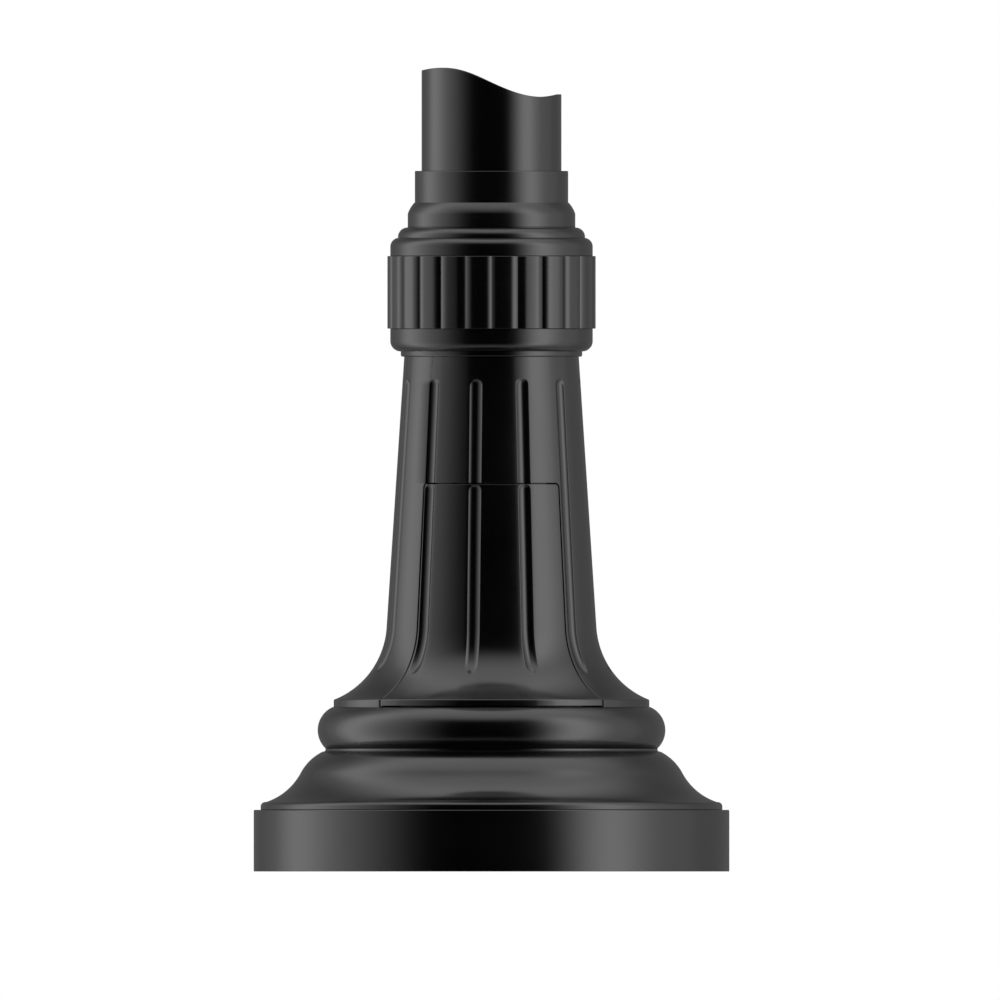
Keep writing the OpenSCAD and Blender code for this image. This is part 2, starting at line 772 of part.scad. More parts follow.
module fuse_carrier() {
    w = fuse_size[0] - 8 - 2 * fit;
    h = fuse_size[2] - 8 - 2 * fit;
    front = board_y - fuse_size[1];
    color(rubber_black) difference() {
        union() {
            translate([-w / 2, front - 2, fuse_z + 4 + fit]) cube([w, 24, h]);
            translate([-fuse_size[0] / 2, front - 4 - fit, fuse_z]) cube([fuse_size[0], 4, fuse_size[2]]);
            translate([-4, front - 16, fuse_z + 12]) cube([8, 13, fuse_size[2] - 24]);
        }
        translate([-5.3, front + 8, fuse_z + 7]) cube([10.6, 20, fuse_size[2] - 14]);
    }
}

module fuse_cartridge() {
    color(moulded_white)
        translate([0, board_y - fuse_size[1] + 13.6, fuse_z + 8]) cylinder(r = 5, h = fuse_size[2] - 16);
}

// Earth stud on the anchor plate, with its nuts and washer
earth_pos = [38, -100];
earth_r = 5;

module earth_stud() {
    color(brass) translate([earth_pos[0], earth_pos[1], plate_t]) cylinder(r = earth_r, h = 34);
}

module earth_nuts() {
    color(brass) difference() {
        translate([earth_pos[0], earth_pos[1], plate_t]) {
            cylinder(r = 9.2, h = 8, $fn = 6);
            translate([0, 0, 9]) cylinder(r = 10, h = 2);
            translate([0, 0, 11.2]) cylinder(r = 9.2, h = 8, $fn = 6);
        }
        translate([earth_pos[0], earth_pos[1], plate_t - 1]) cylinder(r = earth_r + slip, h = 40);
    }
}

anchor_plate();
pole_tube();
foot_weld();
gusset_plates();
handhole_frame();
plinth_ring();
plinth_bolts();
ogee_skirt();
ogee_bolts();
torus_ring();
torus_bolts();
fluted_shaft();
door_gasket();
spring_clips();
access_door();
door_studs();
collar_body();
reeded_band();
upper_collar();
cap_moulding();
pole_sleeve();
sleeve_set_screws();
collar_set_screws();
backboard();
board_spacers();
board_bolts();
terminal_block();
terminal_screws();
fuse_base();
fuse_carrier();
fuse_cartridge();
earth_stud();
earth_nuts();
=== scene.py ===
"""Looks of the post base of a street clock: its castings, pole, door, inner parts, finishes and studio.

The castings are surfaces worked out as whole numpy arrays. Sizes are in millimetres, and a mesh is
written in metres. Angles round the post are measured from its front, -Y, and grow towards +X.
"""

from __future__ import annotations

import logging
import math
from dataclasses import dataclass, field
from enum import Enum
from typing import ClassVar, Sequence, Union

import bpy
import numpy as np
from numpy.typing import NDArray
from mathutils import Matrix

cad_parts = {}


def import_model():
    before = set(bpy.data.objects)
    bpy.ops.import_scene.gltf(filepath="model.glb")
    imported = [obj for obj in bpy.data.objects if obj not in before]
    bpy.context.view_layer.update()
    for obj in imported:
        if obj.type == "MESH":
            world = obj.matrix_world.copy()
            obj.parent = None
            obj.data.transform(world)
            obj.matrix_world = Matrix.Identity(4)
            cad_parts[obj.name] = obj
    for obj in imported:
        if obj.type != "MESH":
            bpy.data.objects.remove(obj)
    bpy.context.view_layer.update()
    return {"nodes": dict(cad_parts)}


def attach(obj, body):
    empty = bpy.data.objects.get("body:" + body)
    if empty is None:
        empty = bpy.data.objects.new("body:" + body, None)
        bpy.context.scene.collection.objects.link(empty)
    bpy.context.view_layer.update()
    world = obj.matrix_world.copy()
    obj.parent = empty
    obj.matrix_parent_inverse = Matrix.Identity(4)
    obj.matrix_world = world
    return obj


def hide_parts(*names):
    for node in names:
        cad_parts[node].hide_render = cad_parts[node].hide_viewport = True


Array = NDArray[np.float64]
Index = NDArray[np.int64]
Colour = tuple[float, float, float]
Pair = tuple[float, float]
Steps = tuple[float, ...]
Socket = bpy.types.NodeSocket
Value = Union[Socket, float, Sequence[float]]

MM = 0.001
SHARP_DEG = 50.0
COLUMNS = 192
ARRIS_POINTINESS = (0.52, 0.62)
LOG = logging.getLogger("post_base")


# ---------- surfaces ----------


@dataclass
class Shell:
    """A surface: its points in millimetres, its faces of four corners, and its flat end faces."""

    points: Array
    quads: Index
    ends: list[Index] = field(default_factory=list)

    @staticmethod
    def joined(shells: Sequence[Shell]) -> Shell:
        """Lay several surfaces into one mesh.

        Args:
            shells: the surfaces, in any order.

        Returns:
            One surface whose face numbers are moved on by the points before them.
        """
        starts = np.cumsum([0] + [len(s.points) for s in shells[:-1]])
        return Shell(
            np.concatenate([s.points for s in shells]),
            np.concatenate([s.quads + k for s, k in zip(shells, starts)]),
            [end + k for s, k in zip(shells, starts) for end in s.ends],
        )

    def to_object(self, name: str) -> bpy.types.Object:
        """Write the surface as a mesh object in metres, smooth but for its sharp arrises.

        Args:
            name: the object's name.

        Returns:
            The new object, linked at the origin.
        """
        mesh = bpy.data.meshes.new(name)
        faces = self.quads.tolist() + [end.tolist() for end in self.ends]
        mesh.from_pydata((self.points * MM).tolist(), [], faces)
        mesh.update(calc_edges=True)
        mesh.shade_smooth()
        mesh.set_sharp_from_angle(angle=math.radians(SHARP_DEG))
        piece = bpy.data.objects.new(name, mesh)
        bpy.context.scene.collection.objects.link(piece)
        return piece


def grid_quads(rows: int, columns: int, closed_rows: bool = False, closed_columns: bool = False) -> Index:
    """Faces of a grid: (i, j), (i, j+1), (i+1, j+1), (i+1, j), counted row by row.

    Args:
        rows: the number of rows.
        columns: the number of columns.
        closed_rows: whether the last row joins the first.
        closed_columns: whether the last column joins the first.

    Returns:
        An array of (row, column, 4) point numbers, so that a part of the grid can be taken.
    """
    i = np.arange(rows if closed_rows else rows - 1)[:, None]
    j = np.arange(columns if closed_columns else columns - 1)[None, :]
    up, across = (i + 1) % rows, (j + 1) % columns
    corners = np.broadcast_arrays(i * columns + j, i * columns + across, up * columns + across, up * columns + j)
    return np.stack(corners, axis=-1)


def round_the_post(radius: Array, angle: Array, height: Array) -> Array:
    """Points from cylinder co-ordinates: (r sin a, -r cos a, z), with a in radians from the front."""
    r, a, z = np.broadcast_arrays(radius, angle, height)
    return np.stack([r * np.sin(a), -r * np.cos(a), z], axis=-1).reshape(-1, 3)


def arc(centre: Pair, radius: float, start: float, end: float, steps: int) -> Array:
    """Points of an arc: centre + radius (cos t, sin t), t running evenly in degrees, 0 outwards and 90 up."""
    t = np.radians(np.linspace(start, end, steps))
    return np.stack([centre[0] + radius * np.cos(t), centre[1] + radius * np.sin(t)], axis=-1)


def outline_of(*parts: Array | Sequence[Pair]) -> Array:
    """Join corners and arcs into one outline."""
    return np.concatenate([np.asarray(part, float) for part in parts])


def squared(inner: float, outer: float, low: float, high: float) -> Array:
    """An outline of four corners: (inner, low), (outer, low), (outer, high), (inner, high)."""
    return np.array([(inner, low), (outer, low), (outer, high), (inner, high)], float)


def eased(corners: Array, radii: dict[int, float], steps: int = 6, support: float = 0.6) -> Array:
    """Round the corners of a closed outline.

    A corner C of radius r gives way to the curve (1-t)^2 A + 2 t (1-t) C + t^2 B, where A and B lie
    r tan(turn / 2) before and after it on its edges. A point just outside A and B keeps the flats flat.

    Args:
        corners: the outline's corners, anticlockwise.
        radii: the radius at each corner that is rounded, by its number.
        steps: points along each rounding.
        support: distance of the outer points.

    Returns:
        The rounded outline, without doubled points.
    """
    radius = np.zeros(len(corners))
    radius[list(radii)] = list(radii.values())
    back = np.roll(corners, 1, axis=0) - corners
    on = np.roll(corners, -1, axis=0) - corners
    len_back, len_on = np.linalg.norm(back, axis=1), np.linalg.norm(on, axis=1)
    back, on = back / len_back[:, None], on / len_on[:, None]
    turn = np.arccos(np.clip(-(back * on).sum(axis=1), -1.0, 1.0))
    room = np.minimum(len_back, len_on)
    reach = np.minimum(radius * np.tan(turn / 2), 0.4 * room)[:, None]
    extra = np.where(reach > 0, np.minimum(support, 0.09 * room[:, None]), 0.0)
    t = np.linspace(0.0, 1.0, steps)[None, :, None]
    first, last = corners + back * reach, corners + on * reach
    curve = (1 - t) ** 2 * first[:, None] + 2 * t * (1 - t) * corners[:, None] + t**2 * last[:, None]
    lead, tail = corners + back * (reach + extra), corners + on * (reach + extra)
    path = np.concatenate([lead[:, None], curve, tail[:, None]], axis=1).reshape(-1, 2)
    step = np.linalg.norm(path - np.roll(path, 1, axis=0), axis=1)
    return path[step > 1e-4]


def ring(radius: Array, angle: Array, height: Array) -> Shell:
    """A closed ring from a grid of radii, angles and heights, each of its rows going once round the post."""
    rows, columns = np.broadcast_shapes(radius.shape, angle.shape, height.shape)
    return Shell(round_the_post(radius, angle, height), grid_quads(rows, columns, True, True).reshape(-1, 4))


def turned(outline: Array, columns: int = COLUMNS) -> Shell:
    """Turn a closed outline round the post: (r, z) goes to (r sin a, -r cos a, z) for a from 0 to 360."""
    angle = np.linspace(0.0, 2 * math.pi, columns, endpoint=False)[None, :]
    return ring(outline[:, 0:1], angle, outline[:, 1:2])


def boxed(low: Sequence[float], high: Sequence[float]) -> Shell:
    """A block between two corners.

    Args:
        low: the lowest corner.
        high: the highest corner.

    Returns:
        A closed block, each of its points taking its low or high value on each axis.
    """
    pick = np.array([[0, 0, 0], [1, 0, 0], [1, 1, 0], [0, 1, 0], [0, 0, 1], [1, 0, 1], [1, 1, 1], [0, 1, 1]])
    points = np.where(pick == 1, np.asarray(high, float), np.asarray(low, float))
    quads = [[0, 3, 2, 1], [4, 5, 6, 7], [0, 1, 5, 4], [1, 2, 6, 5], [2, 3, 7, 6], [3, 0, 4, 7]]
    return Shell(points, np.array(quads))


def bar(x: Array, y: Array, z: Array) -> Shell:
    """A bar along Y, with a flat end at its first and its last row.

    Args:
        x: places across the post, by row along the bar and column round it.
        y: places from front to back.
        z: heights.

    Returns:
        A closed bar.
    """
    points = np.stack(np.broadcast_arrays(x, y, z), axis=-1)
    rows, columns = points.shape[:2]
    first = np.arange(columns)
    quads = grid_quads(rows, columns, False, True).reshape(-1, 4)[:, ::-1]
    return Shell(points.reshape(-1, 3), quads, [first, first[::-1] + (rows - 1) * columns])


def rod(x: float, z: float, front: float, back: float, radius: float, columns: int = 32) -> Shell:
    """A round bar along Y: (x + r cos t, y, z + r sin t), with r drawn in at its back end's arris.

    Args:
        x: the bar's place across the post.
        z: its height.
        front: y of its front end.
        back: y of its back end.
        radius: its radius.
        columns: the number of steps round it.

    Returns:
        A closed bar with flat ends.
    """
    t = np.linspace(0.0, 2 * math.pi, columns, endpoint=False)[None, :]
    ease = min(0.8, 0.2 * radius)
    r = np.array([radius, radius, radius - 0.3 * ease, radius - ease])[:, None]
    y = np.array([front, back - ease, back - 0.3 * ease, back])[:, None]
    return bar(x + r * np.cos(t), y, z + r * np.sin(t))


def walled(outer: Array, inner: Array, quads: Index) -> Shell:
    """Make a sheet into a closed wall.

    An edge that only one face uses lies on the sheet's border. Each such edge (a, b) gives the face
    (b, a, a + n, b + n), which faces away from the sheet, where n is the number of the sheet's points.

    Args:
        outer: the sheet's points.
        inner: the points of its copy on the inside.
        quads: the sheet's faces.

    Returns:
        The sheet, its copy and the faces that join their borders.
    """
    count = len(outer)
    edges = np.stack([quads, np.roll(quads, -1, axis=1)], axis=-1).reshape(-1, 2)
    ordered = np.sort(edges, axis=1)
    key = ordered[:, 0] * (4 * count) + ordered[:, 1]
    _, back, times = np.unique(key, return_inverse=True, return_counts=True)
    a, b = edges[times[back.ravel()] == 1].T
    rim = np.stack([b, a, a + count, b + count], axis=-1)
    return Shell(np.concatenate([outer, inner]), np.concatenate([quads, quads[:, ::-1] + count, rim]))


# ---------- finishes ----------


class Graph:
    """A node tree, with one call that adds a node, sets it and links it."""

    def __init__(self, tree: bpy.types.NodeTree) -> None:
        """Work on a tree that is there."""
        self.tree = tree

    def add(self, kind: str, inputs: dict[str | int, Value], **settings: str) -> bpy.types.Node:
        """Add a node.

        Args:
            kind: its type, without ShaderNode.
            inputs: what its inputs are linked or set to, by name or place.
            settings: its own options.

        Returns:
            The node.
        """
        node = self.tree.nodes.new("ShaderNode" + kind)
        for option, choice in settings.items():
            setattr(node, option, choice)
        for key, value in inputs.items():
            if isinstance(value, Socket):
                self.tree.links.new(value, node.inputs[key])
            else:
                node.inputs[key].default_value = value
        return node

    def maths(self, operation: str, first: Value, second: Value) -> Socket:
        """The result of a sum of two values."""
        return self.add("Math", {0: first, 1: second}, operation=operation).outputs["Value"]

    def span(self, source: Value, given: Pair, wanted: Pair = (0.0, 1.0), kind: str = "LINEAR") -> Socket:
        """Stretch a value from its given low and high end to the wanted ones, and hold it within them."""
        ends = dict(zip(("From Min", "From Max", "To Min", "To Max"), (*given, *wanted)))
        return self.add("MapRange", {"Value": source, **ends}, interpolation_type=kind).outputs["Result"]

    def blend(self, share: Value, first: Value, second: Value) -> Socket:
        """A value between two others: the first at a share of 0, the second at 1."""
        return self.add("Mix", {"Factor": share, "A": first, "B": second}, data_type="FLOAT").outputs["Result"]


class Coat(Graph):
    """The node tree of one material, over the object's own co-ordinates."""

    def __init__(self, name: str) -> None:
        """Start a material with its Principled shader.

        Args:
            name: the material's name.
        """
        self.material = bpy.data.materials.new(name)
        self.material.use_nodes = True
        super().__init__(self.material.node_tree)
        self.shader = self.tree.nodes["Principled BSDF"]
        self.place = self.add("TexCoord", {}).outputs["Object"]

    def stretched(self, scale: Colour) -> Socket:
        """The object's co-ordinates, drawn out by a scale on each axis."""
        return self.add("Mapping", {"Vector": self.place, "Scale": scale}).outputs["Vector"]

    def noise(self, scale: float, detail: float, place: Socket | None = None) -> Socket:
        """Soft noise, about 0.5 on average: its waves to a metre, its finer layers and where it is read."""
        inputs = {"Vector": place or self.place, "Scale": scale, "Detail": detail}
        return self.add("TexNoise", inputs).outputs["Fac"]

    def tint(self, share: Value, first: Value, second: Value) -> Socket:
        """Mix two colours: the first at a share of 0, the second at 1."""
        a, b = (c if isinstance(c, Socket) else (*c, 1.0) for c in (first, second))
        return self.add("Mix", {"Factor": share, "A": a, "B": b}, data_type="RGBA").outputs["Result"]

    def arris(self) -> Socket:
        """How far the surface stands out as an edge, 0 on flats and hollows and 1 on arrises."""
        return self.span(self.add("NewGeometry", {}).outputs["Pointiness"], ARRIS_POINTINESS)

    def relief(self, height: Value, depth_mm: float, under: Socket | None = None) -> Socket:
        """Raise and sink the surface's look by a pattern, over another relief if there is one."""
        inputs = {"Height": height, "Strength": 1.0, "Distance": depth_mm * MM}
        return self.add("Bump", inputs if under is None else {**inputs, "Normal": under}).outputs["Normal"]

    def finished(self, colour: Socket, rough: Socket, normal: Socket) -> bpy.types.Material:
        """Give the shader its varied colour, roughness and normal."""
        for key, value in (("Base Color", colour), ("Roughness", rough), ("Normal", normal)):
            self.tree.links.new(value, self.shader.inputs[key])
        return self.material


@dataclass(frozen=True)
class BlackPaint:
    """Semi-gloss black paint: a fine grain under it, slow ripples in it, and arrises lightened in patches, partly
    as thin, worn paint and partly as a painted highlight.
    """

    name: str
    colour: Colour = (0.0010, 0.0010, 0.0011)
    thin: Colour = (0.0015, 0.0015, 0.00165)
    # Colour of the arrises: partly worn paint, partly a painted edge highlight.
    wear_and_highlight_colour: Colour = (0.014, 0.014, 0.0145)
    rough: Pair = (0.17, 0.24)
    film_scale: float = 9.0
    wear_and_highlight_scale: float = 46.0
    wear_and_highlight_share: Pair = (0.0, 0.5)
    grain_scale: float = 620.0
    grain_mm: float = 0.012
    ripple_scale: float = 34.0
    ripple_mm: float = 0.10

    def make(self) -> bpy.types.Material:
        """Build the material: where the film is thin it is greyer, and arrises are lightened in patches, partly as
        rubbed paint and partly as a painted highlight on the edges.

        Returns:
            The material.
        """
        g = Coat(self.name + "_finish")
        film = g.noise(self.film_scale, 4.0)
        colour = g.tint(g.span(film, (0.35, 0.65)), self.colour, self.thin)
        # Painted highlight on the arrises, mixed with edge wear: the arris mask, broken into patches by noise,
        # lightens the colour.
        wear_and_highlight_mask = g.maths("MULTIPLY", g.arris(), g.span(g.noise(self.wear_and_highlight_scale, 5.0), (0.5, 0.72), self.wear_and_highlight_share))
        ripple = g.relief(g.noise(self.ripple_scale, 1.0), self.ripple_mm)
        normal = g.relief(g.noise(self.grain_scale, 3.0), self.grain_mm, ripple)
        return g.finished(g.tint(wear_and_highlight_mask, colour, self.wear_and_highlight_colour), g.span(film, (0.3, 0.7), self.rough), normal)


@dataclass(frozen=True)
class Metal:
    """A bare or plated metal: cells or streaks of two close shades, and a fine scratched grain."""

    name: str
    light: Colour
    dark: Colour
    rough: Pair
    spangle_scale: float = 0.0
    streak: Colour = (1.0, 1.0, 1.0)
    streak_scale: float = 120.0
    stain_scale: float = 28.0
    stain: Pair = (0.0, 0.35)
    grain_scale: float = 900.0
    grain_mm: float = 0.010

    def make(self) -> bpy.types.Material:
        """Build the material.

        Returns:
            The material.
        """
        g = Coat(self.name + "_finish")
        g.shader.inputs["Metallic"].default_value = 1.0
        place = g.stretched(self.streak)
        if self.spangle_scale:
            cells = g.add("TexVoronoi", {"Vector": g.place, "Scale": self.spangle_scale})
            pattern = g.add("RGBToBW", {"Color": cells.outputs["Color"]}).outputs["Val"]
        else:
            pattern = g.noise(self.streak_scale, 4.0, place)
        stain = g.span(g.noise(self.stain_scale, 5.0), (0.55, 0.8), self.stain)
        colour = g.tint(stain, g.tint(pattern, self.dark, self.light), self.dark)
        grain = g.relief(g.noise(self.grain_scale, 2.0, place), self.grain_mm)
        return g.finished(colour, g.span(pattern, (0.2, 0.8), self.rough), grain)


@dataclass(frozen=True)
class Moulding:
    """A moulded, pressed or fired material: two close shades, its own gloss and a fine skin."""

    name: str
    light: Colour
    dark: Colour
    rough: Pair
    grain_scale: float
    grain_mm: float
    patch_scale: float = 25.0
    coat: float = 0.0
    coat_rough: float = 0.08
    streak: Colour = (1.0, 1.0, 1.0)

    def make(self) -> bpy.types.Material:
        """Build the material.

        Returns:
            The material.
        """
        g = Coat(self.name + "_finish")
        g.shader.inputs["Coat Weight"].default_value = self.coat
        g.shader.inputs["Coat Roughness"].default_value = self.coat_rough
        place = g.stretched(self.streak)
        patch = g.span(g.noise(self.patch_scale, 4.0, place), (0.35, 0.65))
        grain = g.noise(self.grain_scale, 2.0, place)
        colour = g.tint(patch, self.dark, self.light)
        return g.finished(colour, g.span(grain, (0.3, 0.7), self.rough), g.relief(grain, self.grain_mm))


class Finish(Enum):
    """The finishes of the post base, each under the record's name for it."""

    CASTING = BlackPaint("casting_paint")
    POLE = BlackPaint("pole_paint", rough=(0.15, 0.20), grain_scale=300.0, grain_mm=0.004, ripple_mm=0.05)
    GALVANISED = Metal("galvanised_steel", (0.56, 0.58, 0.60), (0.36, 0.38, 0.40), (0.34, 0.55), 110.0)
    ZINC = Metal("zinc_fastener", (0.72, 0.71, 0.66), (0.55, 0.54, 0.48), (0.22, 0.34), streak=(1.0, 1.0, 4.0))
    RUBBER = Moulding("gasket_rubber", (0.04, 0.04, 0.04), (0.018, 0.018, 0.018), (0.75, 0.95), 1500.0, 0.06)
    LAMINATE = Moulding(
        "board_laminate", (0.31, 0.18, 0.10), (0.17, 0.09, 0.05), (0.42, 0.58), 700.0, 0.02,
        patch_scale=90.0, streak=(1.0, 1.0, 0.12),
    )  # fmt: skip
    WHITE = Moulding("moulded_white", (0.84, 0.82, 0.76), (0.76, 0.73, 0.66), (0.3, 0.4), 500.0, 0.01, coat=0.2)
    BLACK = Moulding("fuse_black", (0.045, 0.045, 0.050), (0.028, 0.028, 0.032), (0.42, 0.55), 1300.0, 0.03)
    CERAMIC = Moulding("fuse_ceramic", (0.90, 0.89, 0.85), (0.84, 0.82, 0.76), (0.12, 0.2), 160.0, 0.02, coat=0.6)
    BRASS = Metal("brass", (0.86, 0.66, 0.32), (0.62, 0.44, 0.18), (0.20, 0.32), streak=(1.0, 1.0, 6.0))

    @property
    def material(self) -> bpy.types.Material:
        """This finish's material, built the first time that it is asked for."""
        return bpy.data.materials.get(self.value.name + "_finish") or self.value.make()


def dress(piece: bpy.types.Object, finish: Finish) -> None:
    """Give a piece one finish.

    Args:
        piece: a new piece or a carried-over node.
        finish: its finish.
    """
    if not piece.material_slots:
        piece.data.materials.append(None)
    for slot in piece.material_slots:
        slot.material = finish.material


# ---------- the castings ----------


@dataclass
class Casting:
    """A piece that is made anew, rides on a body and stands for one node."""

    name: str
    body: ClassVar[str] = "post"
    finish: ClassVar[Finish] = Finish.CASTING

    def shell(self) -> Shell:
        """The piece's surface."""
        raise NotImplementedError

    def make(self) -> bpy.types.Object:
        """Build, dress and mount the piece.

        Returns:
            The new object.
        """
        piece = self.shell().to_object(self.name + "_cast")
        dress(piece, self.finish)
        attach(piece, self.body)
        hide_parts(self.name)
        LOG.info("%s: %d faces, %s", piece.name, len(piece.data.polygons), self.finish.value.name)
        return piece


@dataclass
class TurnedCasting(Casting):
    """A casting turned from one closed outline."""

    def outline(self) -> Array:
        """The outline, anticlockwise, as distance from the axis and height."""
        raise NotImplementedError

    def shell(self) -> Shell:
        """The outline turned round the post."""
        return turned(self.outline())


@dataclass
class PlinthRing(TurnedCasting):
    """The plain round plinth: an upright wall with a foot flange and a lip inside."""

    name: str = "plinth_ring"
    outer_r: float = 216.0
    height: float = 56.0
    wall: float = 9.0
    flange_in_r: float = 195.0
    flange_t: float = 7.0
    lip_in_r: float = 183.0
    lip_t: float = 8.0

    def outline(self) -> Array:
        """Wall, lip and flange with eased arrises.

        Returns:
            The closed outline.
        """
        inner = self.outer_r - self.wall
        lip_z = self.height - self.lip_t
        corners = [
            (self.flange_in_r, 0), (self.outer_r, 0), (self.outer_r, self.height), (self.lip_in_r, self.height),
            (self.lip_in_r, lip_z), (inner, lip_z), (inner, self.flange_t), (self.flange_in_r, self.flange_t),
        ]  # fmt: skip
        return eased(outline_of(corners), {0: 0.8, 1: 0.8, 2: 1.2, 3: 0.8, 4: 0.8, 5: 3.0, 6: 3.0, 7: 0.8})


@dataclass
class OgeeSkirt(TurnedCasting):
    """The ogee skirt: a small bead, a hollow curve, a full curve and a neck, of even wall inside."""

    name: str = "ogee_skirt"
    foot_z: float = 56.0
    top_z: float = 111.5
    foot_r: float = 209.7
    bead_r: float = 4.0
    bead_z: float = 59.1
    hollow: Pair = (221.9, 115.4)
    hollow_r: float = 55.0
    full: Pair = (133.3, 68.2)
    full_r: float = 45.4
    neck_r: float = 150.9
    neck_z: float = 109.1
    neck_ease: Pair = (1.2, 0.6)
    hollow_from: float = 251.9
    full_to: float = 63.0
    flange_in_r: float = 112.0
    flange_t: float = 8.0
    spigot: Pair = (177.7, 182.7)
    spigot_h: float = 5.0
    wall: float = 7.0

    def outline(self) -> Array:
        """Outer curves up, flange and inner curves down, and the spigot in the plinth.

        Returns:
            The closed outline.
        """
        tie = math.degrees(math.atan2(self.hollow[1] - self.full[1], self.hollow[0] - self.full[0]))
        under = self.top_z - self.flange_t
        inner_full = math.degrees(math.asin((under - self.full[1]) / (self.full_r - self.wall)))
        low, over = self.foot_z - self.spigot_h, self.foot_z + self.flange_t
        ease_r, ease_z = self.neck_ease
        inner_hollow = math.degrees(math.asin((self.hollow[1] - over) / (self.hollow_r + self.wall)))
        path = outline_of(
            [(self.spigot[1], self.foot_z), (self.foot_r, self.foot_z)],
            arc((self.foot_r - self.bead_r, self.bead_z), self.bead_r, 0, 90, 7),
            arc(self.hollow, self.hollow_r, self.hollow_from, 180 + tie, 20),
            arc(self.full, self.full_r, tie, self.full_to, 16)[1:],
            [(self.neck_r + ease_r, self.neck_z), (self.neck_r, self.neck_z + ease_z), (self.neck_r, self.top_z)],
            [(self.flange_in_r, self.top_z), (self.flange_in_r, under)],
            arc(self.full, self.full_r - self.wall, inner_full, tie, 10),
            arc(self.hollow, self.hollow_r + self.wall, 180 + tie, 180 + inner_hollow, 12)[1:],
            [(self.spigot[0], over), (self.spigot[0], low), (self.spigot[1], low)],
        )
        return eased(path, {1: 0.5, -1: 0.8, -2: 0.8, -3: 0.8})


@dataclass
class TorusRing(TurnedCasting):
    """The half-round moulding between skirt and shaft, hollow inside its two flanges."""

    name: str = "torus_ring"
    foot_z: float = 111.5
    top_z: float = 149.4
    centre: Pair = (134.9, 128.4)
    radius: float = 23.0
    wall: float = 7.0
    flange_in_r: float = 112.0
    flange_t: float = 8.0

    def outline(self) -> Array:
        """Outer round up, top flange, inner round down, bottom flange.

        Returns:
            The closed outline.
        """
        rise = [self.foot_z - self.centre[1], self.top_z - self.centre[1]]
        outer = [math.degrees(math.asin(h / self.radius)) for h in rise]
        inside = [self.top_z - self.flange_t, self.foot_z + self.flange_t]
        inner = [math.degrees(math.asin((z - self.centre[1]) / (self.radius - self.wall))) for z in inside]
        path = outline_of(
            [(self.flange_in_r, self.foot_z)],
            arc(self.centre, self.radius, outer[0], outer[1], 40),
            [(self.flange_in_r, self.top_z), (self.flange_in_r, inside[0])],
            arc(self.centre, self.radius - self.wall, inner[0], inner[1], 14),
            [(self.flange_in_r, inside[1])],
        )
        return eased(path, {})


@dataclass
class CollarBody(TurnedCasting):
    """The neck, the rounded lower ring and the core that carries the reeded band."""

    name: str = "collar_body"
    foot_z: float = 467.5
    neck_r: float = 82.4
    neck_h: float = 4.8
    ring_r: float = 91.95
    round_r: float = 9.5
    band_z: float = 493.0
    band_h: float = 66.0
    bore_r: float = 69.95
    core: Pair = (78.85, 86.35)

    def outline(self) -> Array:
        """Neck, rounded ring, core and bore.

        Returns:
            The closed outline.
        """
        ring_z = self.foot_z + self.neck_h
        top = self.band_z + self.band_h
        path = outline_of(
            [(self.bore_r, self.foot_z), (self.neck_r, self.foot_z), (self.neck_r, ring_z)],
            arc((self.ring_r - self.round_r, ring_z + self.round_r), self.round_r, -90, 0, 18),
            [(self.ring_r, self.band_z), (self.core[1], self.band_z), (self.core[1], top)],
            [(self.core[0], top), (self.core[0], self.band_z - 1), (self.bore_r, self.band_z - 1)],
        )
        return eased(path, {1: 2.2, -6: 0.5})


@dataclass
class ReededBand(Casting):
    """The band of upright reeds: plain lands with rounded edges that meet in narrow valleys."""

    name: str = "reeded_band"
    foot_z: float = 493.0
    height: float = 66.0
    outer_r: float = 94.85
    inner_r: float = 86.65
    reeds: int = 24
    land_half: float = 2.8
    edge_r: float = 15.0
    end_ease: float = 0.8

    def shell(self) -> Shell:
        """The band's outline turned round, its outer points drawn in by the reeds.

        The run beyond a land's edge is x = (|off| - land) * outer radius, and the surface there falls by
        edge radius - sqrt(edge radius^2 - x^2). The fall fades to nothing at the bore.

        Returns:
            A closed ring.
        """
        outline = eased(
            squared(self.inner_r, self.outer_r, self.foot_z, self.foot_z + self.height),
            {0: 0.3, 1: self.end_ease, 2: self.end_ease, 3: 0.3},
        )
        half = 180.0 / self.reeds
        edge = np.array([2.8, 3.5, 4.3, 5.2, 6.1, 6.9, 7.3])
        off = np.concatenate([[-half], -edge[::-1], [-1.4, 0.0, 1.4], edge])
        centre = (np.arange(self.reeds)[:, None] + 0.5) * 2 * half
        angle = np.radians(centre + off[None, :]).reshape(1, -1)
        run = np.radians(np.clip(np.abs(off) - self.land_half, 0.0, None)) * self.outer_r
        fall = np.tile(self.edge_r - np.sqrt(self.edge_r**2 - run**2), self.reeds)[None, :]
        share = np.clip((outline[:, 0:1] - self.inner_r) / (self.outer_r - self.inner_r), 0.0, 1.0)
        return ring(outline[:, 0:1] - share * fall, angle, outline[:, 1:2])


